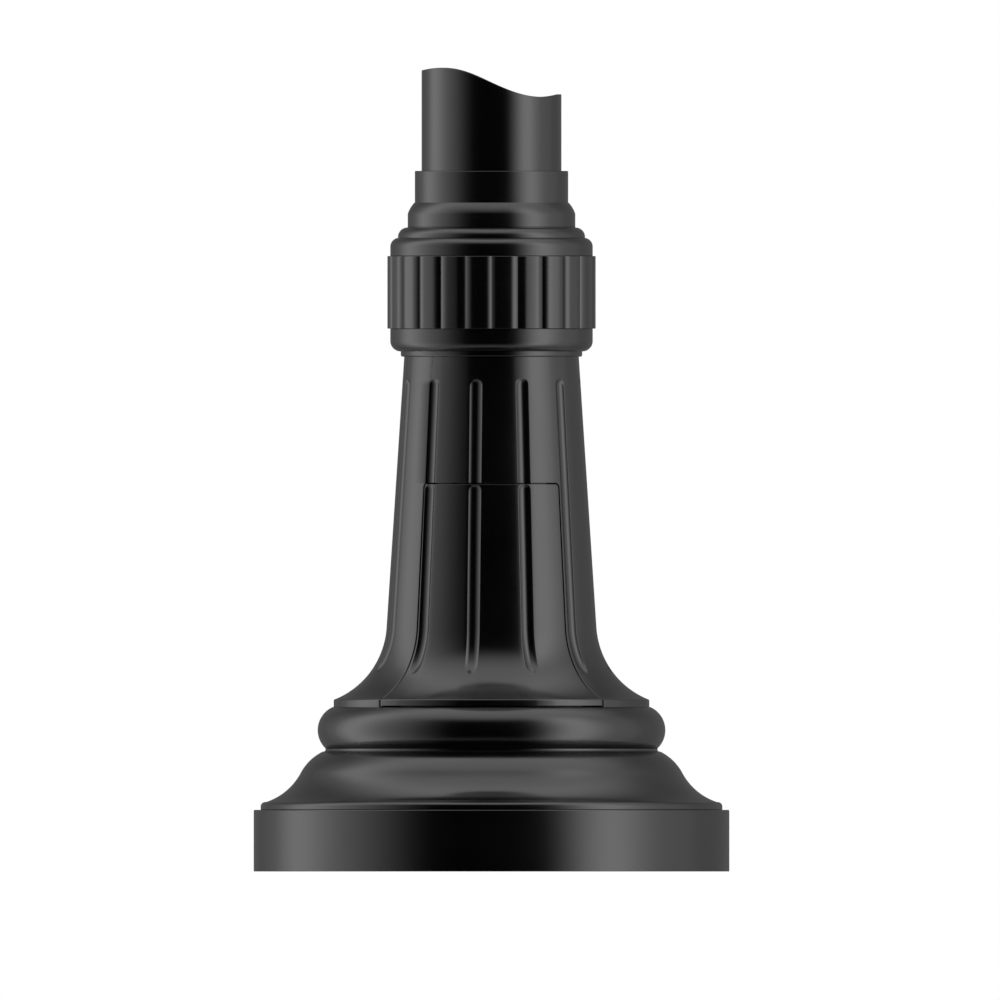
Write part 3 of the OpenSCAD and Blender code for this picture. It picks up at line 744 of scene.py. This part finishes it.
@dataclass
class UpperCollar(TurnedCasting):
    """Two stepped rounded rings over the band, with a spigot in the core."""

    name: str = "upper_collar"
    foot_z: float = 559.0
    top_z: float = 585.3
    ring_r: float = 91.95
    round_1: float = 8.2
    step_h: float = 16.6
    inner_r: float = 76.3
    round_2: float = 8.7
    bore_r: float = 69.95
    spigot_r: float = 78.55
    spigot_h: float = 8.0

    def outline(self) -> Array:
        """Spigot, first ring and its round, second ring and its round, and the bore.

        Returns:
            The closed outline.
        """
        step_z = self.foot_z + self.step_h
        second = (self.inner_r, self.top_z - self.round_2 - 0.4)
        start = math.degrees(math.asin((step_z - second[1]) / self.round_2))
        path = outline_of(
            [(self.bore_r, self.foot_z - self.spigot_h), (self.spigot_r, self.foot_z - self.spigot_h)],
            [(self.spigot_r, self.foot_z), (self.ring_r, self.foot_z)],
            arc((self.ring_r - self.round_1, step_z - self.round_1), self.round_1, 0, 90, 14),
            arc(second, self.round_2, start, 90, 14),
            [(self.inner_r, self.top_z), (self.bore_r, self.top_z)],
        )
        return eased(path, {3: 0.5})


@dataclass
class CapMoulding(TurnedCasting):
    """The rounded moulding over the rings."""

    name: str = "cap_moulding"
    foot_z: float = 585.3
    radius: float = 76.1
    centre: Pair = (51.2, 589.4)
    round_r: float = 26.1
    bore_r: float = 69.95

    def outline(self) -> Array:
        """An upright band, then the round in to the bore.

        Returns:
            The closed outline.
        """
        start = math.degrees(math.acos((self.radius - self.centre[0]) / self.round_r))
        end = math.degrees(math.acos((self.bore_r + 0.1 - self.centre[0]) / self.round_r))
        foot = [(self.bore_r, self.foot_z), (self.radius, self.foot_z)]
        return eased(outline_of(foot, arc(self.centre, self.round_r, start, end, 14)), {1: 0.5})


@dataclass
class PoleSleeve(TurnedCasting):
    """The plain sleeve round the pole, eased at its upper arris."""

    name: str = "pole_sleeve"
    foot_z: float = 467.5
    top_z: float = 636.3
    outer_r: float = 69.65
    inner_r: float = 63.8

    def outline(self) -> Array:
        """A plain wall."""
        corners = squared(self.inner_r, self.outer_r, self.foot_z, self.top_z)
        return eased(corners, {0: 0.3, 1: 0.3, 2: 1.0, 3: 0.8})


@dataclass
class PoleTube(Casting):
    """The structural pole, with a wavy break at its top and a round-ended hand hole behind the door."""

    name: str = "pole_tube"
    finish: ClassVar[Finish] = Finish.POLE
    radius: float = 63.5
    wall: float = 4.8
    foot_z: float = 16.0
    break_z: float = 716.8
    break_rise: float = 13.2
    break_wave: float = 184.0
    hole_w: float = 76.0
    hole_h: float = 130.0
    hole_z: float = 249.4
    cut_y: Pair = (-83.5, -5.0)
    hole_sharp_deg: float = 40.0

    def shell(self) -> Shell:
        """The tube's outline turned round, its top at break_z - rise * sin(360 x / wave).

        Each point takes the share of its height that its outline has between foot and break.

        Returns:
            A closed ring.
        """
        inner = self.radius - self.wall
        levels = np.concatenate([[0.0, 0.004], np.linspace(0.05, 0.95, 16), [0.99, 0.9985]])
        corners = outline_of(
            np.stack([np.full(levels.size, self.radius), levels], axis=-1),
            [(self.radius - 0.05, 0.9996), (self.radius - 0.4, 1.0), (inner + 0.4, 1.0), (inner + 0.05, 0.9996)],
            np.stack([np.full(levels.size, inner), levels[::-1]], axis=-1),
        )
        angle = np.linspace(0.0, 2 * math.pi, COLUMNS, endpoint=False)[None, :]
        across = self.radius * np.sin(angle)
        top = self.break_z - self.break_rise * np.sin(2 * math.pi * across / self.break_wave)
        return ring(corners[:, 0:1], angle, self.foot_z + corners[:, 1:2] * (top - self.foot_z))

    def cutter(self) -> bpy.types.Object:
        """A round-ended bar through the pole's front, with which the hand hole is cut.

        Returns:
            The bar, as an object of its own.
        """
        reach = (self.hole_h - self.hole_w) / 2
        t = np.linspace(0.0, 2 * math.pi, 64, endpoint=False)[None, :]
        x = self.hole_w / 2 * np.cos(t)
        z = self.hole_z + self.hole_w / 2 * np.sin(t) + reach * np.where(np.sin(t) >= 0, 1.0, -1.0)
        return bar(x, np.array(self.cut_y)[:, None], z).to_object("cutter")

    def make(self) -> bpy.types.Object:
        """Build the tube and cut the hand hole out of its front.

        Returns:
            The pole.
        """
        piece = super().make()
        cutter = self.cutter()
        cut = piece.modifiers.new("hand_hole", "BOOLEAN")
        cut.object = cutter
        cut.operation = "DIFFERENCE"
        cut.solver = "EXACT"
        bpy.context.view_layer.update()
        done = bpy.data.meshes.new_from_object(piece.evaluated_get(bpy.context.evaluated_depsgraph_get()))
        piece.modifiers.clear()
        piece.data = done
        done.name = piece.name
        bpy.data.objects.remove(cutter)
        done.shade_smooth()
        done.set_sharp_from_angle(angle=math.radians(self.hole_sharp_deg))
        return piece


# ---------- shaft and door ----------


@dataclass(frozen=True)
class ShaftSurface:
    """The outer face of shaft and door, and every face parallel to it.

    A place on it has an angle round the post, a row s and a depth. Row s runs 0 to 1 up the flat band at
    the foot, 1 to 2 round its upper arris, 2 to 3 along the flare and 3 to 4 up the tapered side.
    """

    foot_z: float = 149.4
    height: float = 318.1
    top_r: float = 79.4
    taper: float = math.radians(3.76)
    flare_r: float = 75.8
    flare_centre_h: float = 77.3
    list_r: float = 143.9
    list_h: float = 7.2
    list_ease: float = 2.4
    wall: float = 7.0
    flute_r: float = 8.2
    flute_depth: float = 2.4
    flute_first: float = -40.0
    flutes: int = 12
    door_flutes: int = 3
    flute_columns: int = 12
    flare_rows: int = 30
    side_rows: int = 24
    flute_low_z: float = 179.4
    flute_high_z: float = 447.3
    lip: float = 0.16
    door_half: float = math.radians(45.0)
    door_top: float = 352.8
    corner_r: float = 4.0
    arris: float = 0.55
    # How far from the flutes' lower and upper ends and from the door's upper edge the rows stand.
    low_steps: ClassVar[Steps] = (-1.5, -0.8, -0.4, 0.0, 0.5, 1.2, 2.2, 3.6, 5.4)
    high_steps: ClassVar[Steps] = (-1.5, -0.7, -0.3, 0.0, 0.3, 0.7, 1.3, 2.2, 3.4, 4.8, 6.5)
    edge_steps: ClassVar[Steps] = (
        -12.0, -6.0, -4.0, -3.7, -3.3, -2.8, -2.2, -1.6, -1.05, -0.6, -0.3, -0.12,
        0.0, 0.12, 0.3, 0.6, 1.2, 3.0, 8.0,
    )  # fmt: skip
    # How far from a flute's edge the columns stand, in millimetres and as shares of the land's width.
    near_steps: ClassVar[Steps] = (0.0, 0.25, 0.6, 1.3, 4.0)
    share_steps: ClassVar[Steps] = (0.0, 0.07, 0.16, 0.27, 0.4)

    @property
    def top_z(self) -> float:
        """Height of the shaft's top."""
        return self.foot_z + self.height

    @property
    def side_k(self) -> float:
        """The tapered side's distance from the origin along its normal."""
        return self.top_r * math.cos(self.taper) + self.top_z * math.sin(self.taper)

    @property
    def flare_z(self) -> float:
        """Height of the flare's centre."""
        return self.foot_z + self.flare_centre_h

    @property
    def flare_x(self) -> float:
        """Distance of the flare's centre from the axis."""
        return (self.side_k + self.flare_r - self.flare_z * math.sin(self.taper)) / math.cos(self.taper)

    @property
    def flute_half(self) -> float:
        """Half the width of a flute at the outer face."""
        return math.sqrt(self.flute_r**2 - (self.flute_r - self.flute_depth) ** 2)

    def line(self, s: Array, depth: Array) -> tuple[Array, Array]:
        """Radius and height on row s at a depth.

        The flat band is upright, its arris is a curve (1-t)^2 A + 2 t (1-t) B + t^2 C, the flare is an arc
        of radius flare + depth about its centre, and the side is a straight line depth within the face.

        Args:
            s: rows.
            depth: depths below the outer face.

        Returns:
            Radii and heights, of the two arrays' common shape.
        """
        s, d = np.broadcast_arrays(np.asarray(s, float), np.asarray(depth, float))
        list_top = self.foot_z + self.list_h
        rise = self.flare_z - list_top
        start_r = self.flare_x - np.sqrt((self.flare_r + d) ** 2 - rise**2)
        deep_r = self.flare_x - math.sqrt((self.flare_r + self.wall) ** 2 - rise**2)
        band_r = np.interp(d, [0.0, 1.0, self.wall], [self.list_r, self.list_r - 1.0, deep_r])
        band_r = np.where(d > self.wall, start_r, band_r)
        t = np.clip(s - 1, 0, 1)
        ease_r = (1 - t) ** 2 * band_r + 2 * t * (1 - t) * band_r + t**2 * start_r
        ease_z = list_top - self.list_ease * (1 - t) ** 2
        first = np.arcsin(rise / (self.flare_r + d))
        turn = first + np.clip(s - 2, 0, 1) * (self.taper - first)
        flare_r = self.flare_x - (self.flare_r + d) * np.cos(turn)
        flare_z = self.flare_z - (self.flare_r + d) * np.sin(turn)
        low = self.flare_z - (self.flare_r + d) * math.sin(self.taper)
        side_z = low + np.clip(s - 3, 0, 1) * (self.top_z - low)
        side_r = (self.side_k - d - side_z * math.sin(self.taper)) / math.cos(self.taper)
        band_z = self.foot_z + np.clip(s, 0, 1) * (self.list_h - self.list_ease)
        parts = [s <= 1, s <= 2, s <= 3]
        r = np.select(parts, [band_r, ease_r, flare_r], side_r)
        z = np.select(parts, [band_z, ease_z, flare_z], side_z)
        return r, z

    def row(self, z: Array) -> Array:
        """The rows of heights on the outer face."""
        s = np.concatenate([np.linspace(0, 1, 5), np.linspace(1, 2, 9)[1:], np.linspace(2, 3, 200)[1:], [4.0]])
        return np.interp(z, self.line(s, 0.0)[1], s)

    def outline_gap(self, angle: Array, s: Array, inset: float) -> Array:
        """Distance outside the door opening's rounded outline, drawn in by inset, negative within it.

        With q the distances past the corner's centre, across and up, it is |max(q, 0)| + min(max(q), 0) - r.

        Args:
            angle: angles from the front, in radians.
            s: rows.
            inset: how far the outline is drawn in.

        Returns:
            Distances along the face, in millimetres.
        """
        r, z = self.line(s, 0.0)
        corner = self.corner_r - inset / 2
        across = r * (np.abs(angle) - self.door_half) + inset + corner
        up = z - self.door_top + inset + corner
        outside = np.hypot(np.maximum(across, 0), np.maximum(up, 0))
        return outside + np.minimum(np.maximum(across, up), 0) - corner

    def half_angle(self, s: Array, inset: float) -> Array:
        """Half the angle of the opening on each row, less inset and the corner's round.

        Args:
            s: rows.
            inset: how far the outline is drawn in.

        Returns:
            Angles from the front, in radians.
        """
        r, z = self.line(s, 0.0)
        corner = self.corner_r - inset / 2
        up = np.clip(z - self.door_top + inset + corner, 0.0, corner)
        return self.door_half - (inset + corner - np.sqrt(corner**2 - up**2)) / r

    def columns(self, s: Array, inset: float) -> tuple[Array, int]:
        """Angles of the grid's columns on each row, from the opening's left edge all round the post.

        They follow the flutes' edges, so that those stay crisp. Between two edges a column lies the lesser
        of a set distance and a set share of the width from the nearer edge.

        Args:
            s: rows.
            inset: how far the door's edges are drawn in.

        Returns:
            Angles by row and column, and the number of the door's columns.
        """
        r = self.line(s, 0.0)[0]
        width = self.flute_half / r
        half = self.half_angle(s, inset)
        middle = np.radians(self.flute_first + 360.0 / self.flutes * np.arange(self.flutes))
        marks = [-half]
        for k, a in enumerate(middle):
            if k == self.door_flutes:
                marks.append(half)
            marks += [a - width, a + width]
        marks.append(2 * math.pi - half)
        edge = np.stack(marks, axis=-1)
        near, share = np.array(self.near_steps), np.array(self.share_steps)
        hollow = 0.5 + 0.5 * np.sin(np.linspace(-math.pi / 2, math.pi / 2, self.flute_columns + 1)[:-1])
        door_spans = 2 * self.door_flutes + 1
        out, count = [], 0
        for k in range(edge.shape[1] - 1):
            start, span = edge[:, k : k + 1], edge[:, k + 1 : k + 2] - edge[:, k : k + 1]
            flute = k % 2 == 1 if k < door_spans else k % 2 == 0
            if flute:
                step = hollow[None, :] * span
            else:
                lead = np.minimum(near / r[:, None], share * span)
                step = np.concatenate([lead, 0.5 * span, span - lead[:, :0:-1]], axis=1)
            out.append(start + step)
            count += step.shape[1] if k < door_spans else 0
        out.append(edge[:, -1:])
        return np.concatenate(out, axis=1), count

    def flute(self, angle: Array, s: Array) -> Array:
        """Depth of the flutes at each place.

        With x the distance across from the flute's middle and e the distance past its straight part, halved
        at the lower end, which runs out long, the hollow's depth is d = sqrt(r^2 - x^2 - e^2) - (r - depth),
        softened at its lip to (d + sqrt(d^2 + lip^2)) / 2.

        Args:
            angle: angles by row and column.
            s: rows.

        Returns:
            Depths below the outer face.
        """
        r, z = self.line(s, 0.0)
        run = np.concatenate([[0.0], np.cumsum(np.hypot(np.diff(r[:, 0]), np.diff(z[:, 0])))])[:, None]
        half = self.flute_half
        low, high = (np.interp(h, z[:, 0], run[:, 0]) for h in (self.flute_low_z, self.flute_high_z))
        pitch = 2 * math.pi / self.flutes
        x = r * ((angle - math.radians(self.flute_first) + pitch / 2) % pitch - pitch / 2)
        e = np.maximum(np.maximum(run - high + half, (low + 2 * half - run) / 2), 0.0)
        d = np.sqrt(np.clip(self.flute_r**2 - x**2 - e**2, 0.0, None)) - (self.flute_r - self.flute_depth)
        return 0.5 * (d + np.sqrt(d**2 + self.lip**2)) * (d > -1.5)

    def edge_drop(self, gap: Array) -> Array:
        """Depth of the eased arris at a distance from the edge: a quarter round, a - sqrt(a^2 - (a - gap)^2)."""
        near = np.clip(self.arris - gap, 0.0, self.arris)
        return self.arris - np.sqrt(self.arris**2 - near**2)

    def rows(self, low: float, high: float, edge: float) -> Array:
        """Rows from low to high, close together at the flutes' ends and the door's upper edge.

        Args:
            low: lowest height.
            high: highest height.
            edge: height of the door's upper edge.

        Returns:
            The rows, rising.
        """
        flare = np.degrees(math.asin((self.flare_z - self.foot_z - self.list_h) / self.flare_r))
        turn = np.radians(np.linspace(flare, math.degrees(self.taper), self.flare_rows))
        heights = np.concatenate([
            self.flare_z - self.flare_r * np.sin(turn),
            self.flute_low_z + np.array(self.low_steps),
            self.flute_high_z - np.array(self.high_steps),
            edge + np.array(self.edge_steps),
            np.linspace(self.flare_z, self.top_z, self.side_rows),
            np.array([low + 0.12, low + 0.3, low + 0.6, high]),
        ])
        foot = np.array([0.0, 0.25, 0.6, 1.0, 1.2, 1.4, 1.6, 1.8, 2.0])
        s = np.unique(np.round(np.concatenate([foot, self.row(heights)]), 6))
        s = s[(s >= self.row(low)) & (s <= self.row(high))]
        s = np.unique(np.concatenate([[self.row(low)], s, [self.row(high)]]))
        keep = np.concatenate([[True], np.diff(s) > 1e-5])
        return s[keep]

    def place(self, angle: Array, s: Array, depth: Array) -> Array:
        """Points at angles, rows and depths."""
        r, z = self.line(s, depth)
        return round_the_post(r, angle, z)

    def wall_over(self, angle: Array, s: Array, gap: Array, quads: Index) -> Shell:
        """The wall over a grid: its fluted face, eased by the gap to its edge, and its plain inner face."""
        depth = self.flute(angle, s) + self.edge_drop(np.maximum(gap, 0.0))
        return walled(self.place(angle, s, depth), self.place(angle, s, np.full_like(angle, self.wall)), quads)


@dataclass(frozen=True)
class DoorCatches:
    """The places of the door's four push-in studs, with their bosses and the lugs behind them."""

    top: Pair = (26.0, 334.8)
    foot: Pair = (28.0, 165.4)
    boss_r: float = 7.0
    top_boss: Pair = (-79.6, -73.6)
    foot_boss: Pair = (-111.5, -107.0)
    top_lug: Pair = (-71.4, -66.4)
    foot_lug: Pair = (-104.0, -99.0)
    top_lug_half: float = 36.0
    top_lug_drop: float = 10.0
    foot_lug_half: float = 7.0
    foot_lug_h: float = 20.0

    def bosses(self) -> list[Shell]:
        """The bosses on the door, by side, the upper one first."""
        places = ((self.top, self.top_boss), (self.foot, self.foot_boss))
        return [rod(side * x, z, *y, self.boss_r) for side in (-1, 1) for (x, z), y in places]

    def lugs(self, foot_z: float, top_z: float) -> list[Shell]:
        """The lugs on the shaft.

        Args:
            foot_z: the lowest height of the two lower lugs.
            top_z: the highest height of the wide upper lug.

        Returns:
            The upper lug, then the lower ones.
        """
        half, (front, back) = self.top_lug_half, self.top_lug
        lugs = [boxed((-half, front, self.top[1] - self.top_lug_drop), (half, back, top_z))]
        half, (front, back) = self.foot_lug_half, self.foot_lug
        for x in (-self.foot[0], self.foot[0]):
            lugs.append(boxed((x - half, front, foot_z), (x + half, back, foot_z + self.foot_lug_h)))
        return lugs


@dataclass
class FlutedShaft(Casting):
    """The flared, tapering shaft: the fluted skin with its door opening, rebate, flange, hub and lugs."""

    name: str = "fluted_shaft"
    surface: ShaftSurface = ShaftSurface()
    catches: DoorCatches = DoorCatches()
    rebate: float = 10.0
    ledge_out: float = 8.0
    ledge_face: float = 6.4
    ledge_gap: float = 0.05
    ledge_lift: float = 0.3
    ledge_rows: int = 40
    lug_gap: float = 1.0
    seat: float = 9.6
    seat_t: float = 4.6
    hub_r: Pair = (63.8, 76.4)
    hub_t: float = 15.0
    flange_r: Pair = (96.0, 128.0)
    flange_t: float = 8.0
    ease: float = 0.8

    def skin(self) -> Shell:
        """The fluted wall with the door opening left out, its inner face and the rim between them.

        Returns:
            A closed wall.
        """
        face = self.surface
        s = face.rows(face.foot_z, face.top_z, face.door_top)
        angle, door_columns = face.columns(s, 0.0)
        angle = angle[:, :-1]
        s = s[:, None]
        rows, columns = angle.shape
        signed = (angle + math.pi) % (2 * math.pi) - math.pi
        window = (s[1:] <= face.row(face.door_top) + 1e-4) & (np.arange(columns)[None, :] < door_columns)
        quads = grid_quads(rows, columns, False, True)[~window]
        return face.wall_over(angle, s, face.outline_gap(signed, s, 0.0), quads)

    def ledge(self) -> Shell:
        """The rebate: a bar carried along the opening's outline, behind the door's edge.

        The path goes up the right side, round the corner, across and down the left side. A point of the
        bar's section lies some way in from the outline and at its own depth.

        Returns:
            A closed bar with flat ends.
        """
        face = self.surface
        back = self.seat + self.seat_t
        section = outline_of(
            [(-self.ledge_out, self.ledge_face), (-self.ledge_gap, self.ledge_face), (-self.ledge_gap, self.seat)],
            [(self.rebate, self.seat), (self.rebate, back), (-self.ledge_out, back)],
        )
        inward, depth = section[:, 0:1], section[:, 1:2]
        sharp = np.maximum(face.corner_r, inward)
        curve = np.maximum(face.corner_r - inward, 0.0)
        low = face.foot_z + face.list_h + self.ledge_lift
        up = np.linspace(0.0, 1.0, self.ledge_rows)[None, :]
        turn = np.radians(np.linspace(0, 90, 7))[None, 1:-1]
        side_z = low + up * (face.door_top - sharp - low)
        bend_z = face.door_top - sharp + curve * np.sin(turn)
        z = np.concatenate([side_z, bend_z], axis=1)
        in_x = np.concatenate([sharp - curve + 0 * side_z, sharp - curve * np.cos(turn)], axis=1)
        s = face.row(z)
        angle = face.door_half - in_x / face.line(s, 0.0)[0]
        across = np.linspace(1.0, -1.0, self.ledge_rows + 1)[None, :]
        top_z = face.door_top - sharp + curve + 0 * across
        top_s = face.row(top_z)
        top_angle = across * (face.door_half - sharp / face.line(top_s, 0.0)[0])
        path_s = np.concatenate([s, top_s, s[:, ::-1]], axis=1)
        path_angle = np.concatenate([angle, top_angle, -angle[:, ::-1]], axis=1)
        rows, columns = path_s.shape
        points = face.place(path_angle, path_s, depth + 0 * path_s)
        quads = grid_quads(rows, columns, True, False).reshape(-1, 4)
        first = np.arange(rows) * columns
        return Shell(points, quads, [first, first[::-1] + columns - 1])

    def shell(self) -> Shell:
        """Skin, rebate, hub, foot flange and the lugs that carry the door's clips.

        Returns:
            The whole casting's surface.
        """
        face = self.surface
        hub = squared(*self.hub_r, face.top_z - self.hub_t, face.top_z)
        flange = squared(*self.flange_r, face.foot_z, face.foot_z + self.flange_t)
        rings = [turned(eased(c, dict.fromkeys(range(4), self.ease)), 128) for c in (hub, flange)]
        lugs = self.catches.lugs(face.foot_z + self.lug_gap, face.door_top + self.rebate - self.lug_gap)
        return Shell.joined([self.skin(), self.ledge(), *rings, *lugs])


@dataclass
class AccessDoor(Casting):
    """The flush door: a shell of the shaft's own face, drawn in by the gap, with four bosses inside."""

    name: str = "access_door"
    body: ClassVar[str] = "door"
    surface: ShaftSurface = ShaftSurface()
    catches: DoorCatches = DoorCatches()
    gap: float = 1.0

    def shell(self) -> Shell:
        """The door's fluted face with eased edges, its inner face, its rim and its bosses.

        Returns:
            The whole door's surface.
        """
        face = self.surface
        low, high = face.foot_z + self.gap, face.door_top - self.gap
        s = face.rows(low, high, high)
        angle, door_columns = face.columns(s, self.gap)
        angle = angle[:, : door_columns + 1]
        s = s[:, None]
        rows, columns = angle.shape
        gap = np.minimum(-face.outline_gap(angle, s, self.gap), face.line(s, 0.0)[1] - low)
        quads = grid_quads(rows, columns).reshape(-1, 4)
        return Shell.joined([face.wall_over(angle, s, gap, quads), *self.catches.bosses()])


# ---------- inner parts ----------


@dataclass(frozen=True)
class InnerParts:
    """The parts that keep their own solids, and the finish of each."""

    finishes: ClassVar[dict[Finish, tuple[str, ...]]] = {
        Finish.GALVANISED: ("anchor_plate", "foot_weld", "gusset_plates", "handhole_frame"),
        Finish.ZINC: (
            "plinth_bolts", "ogee_bolts", "torus_bolts", "spring_clips", "door_studs",
            "sleeve_set_screws", "collar_set_screws", "board_spacers", "board_bolts",
        ),
        Finish.RUBBER: ("door_gasket",),
        Finish.LAMINATE: ("backboard",),
        Finish.WHITE: ("terminal_block", "fuse_base"),
        Finish.BLACK: ("fuse_carrier",),
        Finish.CERAMIC: ("fuse_cartridge",),
        Finish.BRASS: ("terminal_screws", "earth_stud", "earth_nuts"),
    }  # fmt: skip

    def dress_all(self, nodes: dict[str, bpy.types.Object]) -> None:
        """Give each carried-over node its finish.

        Args:
            nodes: the frame's nodes by name.
        """
        for finish, names in self.finishes.items():
            for name in names:
                dress(nodes[name], finish)
                LOG.info("%s: kept, %s", name, finish.value.name)


# ---------- studio ----------


@dataclass(frozen=True)
class Studio:
    """A pale floor, a soft dome of light in panels round the post, and a level camera without perspective."""

    camera_x: float = 0.0077
    camera_z: float = 0.3374
    camera_y: float = -3.0
    view_width: float = 0.9082
    floor_size: float = 8.0
    panels: ClassVar[tuple[Pair, ...]] = (
        (-180, 0.17), (-160, 0.25), (-148, 0.33), (-130, 0.80), (-120, 1.80), (-110, 2.95), (-100, 3.15),
        (-90, 2.80), (-80, 2.20), (-60, 1.28), (-50, 0.72), (-40, 0.26), (-30, 0.03), (-18, 0.0), (22, 0.0),
        (28, 0.12), (36, 1.15), (42, 2.25), (48, 3.45), (56, 4.55), (66, 4.50), (78, 2.90), (90, 1.80),
        (100, 1.48), (110, 1.18), (122, 0.68), (140, 0.40), (160, 0.25), (180, 0.17),
    )  # fmt: skip
    overhead: Pair = (2.5, 0.9)
    overhead_fade: Pair = (0.10, 0.80)
    overhead_rise: Pair = (0.58, 0.95)
    underfoot: float = 0.9
    underfoot_fall: Pair = (-0.45, -0.95)
    floor_shades: Pair = (0.80, 0.84)

    def round_about(self, g: Graph, x: Socket, y: Socket) -> Socket:
        """The panels' strength by the angle round the post, atan2(x, -y).

        Args:
            g: the world's nodes.
            x: the direction's x.
            y: its y.

        Returns:
            The strength, straight between the angles in the table.
        """
        angle = g.maths("ARCTAN2", x, g.maths("MULTIPLY", y, -1.0))
        share = g.maths("ADD", g.maths("DIVIDE", angle, 2 * math.pi), 0.5)
        curve = g.add("FloatCurve", {"Value": share})
        peak = max(level for _, level in self.panels)
        points = curve.mapping.curves[0].points
        while len(points) < len(self.panels):
            points.new(0.5, 0.5)
        for point, (degrees, level) in zip(points, self.panels):
            point.location = (degrees / 360 + 0.5, level / peak)
            point.handle_type = "VECTOR"
        curve.mapping.update()
        return g.maths("MULTIPLY", curve.outputs["Value"], peak)

    def world(self) -> bpy.types.World:
        """Light by direction: panels round the post, a light overhead and one underfoot, white to the camera.

        The light overhead takes over as the direction's z rises, and it fades towards the back. The one
        underfoot takes over as z falls.

        Returns:
            The world.
        """
        world = bpy.data.worlds.new("studio")
        bpy.context.scene.world = world
        world.use_nodes = True
        world.node_tree.nodes.clear()
        g = Graph(world.node_tree)
        parts = g.add("SeparateXYZ", {"Vector": g.add("TexCoord", {}).outputs["Generated"]})
        x, y, z = (parts.outputs[axis] for axis in "XYZ")
        overhead = g.span(y, self.overhead_fade, self.overhead, "SMOOTHSTEP")
        level = g.blend(g.span(z, self.overhead_rise, kind="SMOOTHSTEP"), self.round_about(g, x, y), overhead)
        level = g.blend(g.span(z, self.underfoot_fall, kind="SMOOTHSTEP"), level, self.underfoot)
        light = g.add("Background", {"Strength": level}).outputs["Background"]
        white = g.add("Background", {"Color": (1.0, 1.0, 1.0, 1.0), "Strength": 1.0}).outputs["Background"]
        seen = g.add("LightPath", {}).outputs["Is Camera Ray"]
        shader = g.add("MixShader", {"Fac": seen, 1: light, 2: white}).outputs["Shader"]
        g.add("OutputWorld", {"Surface": shader})
        return world

    def floor(self) -> bpy.types.Object:
        """A plain pale floor that glossy rays pass through.

        Returns:
            The floor.
        """
        half = self.floor_size / 2 / MM
        corners = np.array([(-half, -half, 0), (half, -half, 0), (half, half, 0), (-half, half, 0)], float)
        floor = Shell(corners, np.array([[0, 1, 2, 3]])).to_object("floor")
        g = Coat("floor_paint")
        g.shader.inputs["Roughness"].default_value = 0.9
        g.shader.inputs["Specular IOR Level"].default_value = 0.1
        dark, pale = ((shade,) * 3 for shade in self.floor_shades)
        g.tree.links.new(g.tint(g.noise(6.0, 2.0), dark, pale), g.shader.inputs["Base Color"])
        glossy = g.add("LightPath", {}).outputs["Is Glossy Ray"]
        clear = g.add("BsdfTransparent", {}).outputs["BSDF"]
        shader = g.add("MixShader", {"Fac": glossy, 1: g.shader.outputs["BSDF"], 2: clear}).outputs["Shader"]
        g.tree.links.new(shader, g.tree.nodes["Material Output"].inputs["Surface"])
        floor.data.materials.append(g.material)
        return floor

    def camera(self) -> bpy.types.Object:
        """A level camera that looks along +Y.

        Returns:
            The camera.
        """
        data = bpy.data.cameras.new("camera")
        data.type = "ORTHO"
        data.ortho_scale = self.view_width
        data.clip_end = 50.0
        camera = bpy.data.objects.new("camera", data)
        bpy.context.scene.collection.objects.link(camera)
        camera.location = (self.camera_x, self.camera_y, self.camera_z)
        camera.rotation_euler = (math.pi / 2, 0.0, 0.0)
        bpy.context.scene.camera = camera
        return camera

    def build(self) -> None:
        """Set up light, floor and camera."""
        self.camera()
        self.floor()
        self.world()
        view = bpy.context.scene.view_settings
        view.view_transform = "Standard"
        view.look = "None"
        LOG.info("studio ready")


def main() -> None:
    """Load the frame, build the studio and every piece in order, and give the inner parts their finishes."""
    logging.basicConfig(level=logging.INFO, format="%(name)s: %(message)s")
    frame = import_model()
    Studio().build()
    castings: list[Casting] = [
        PlinthRing(), OgeeSkirt(), TorusRing(), FlutedShaft(), AccessDoor(), CollarBody(),
        ReededBand(), UpperCollar(), CapMoulding(), PoleSleeve(), PoleTube(),
    ]  # fmt: skip
    for casting in castings:
        casting.make()
    InnerParts().dress_all(frame["nodes"])


if __name__ == "__main__":
    main()
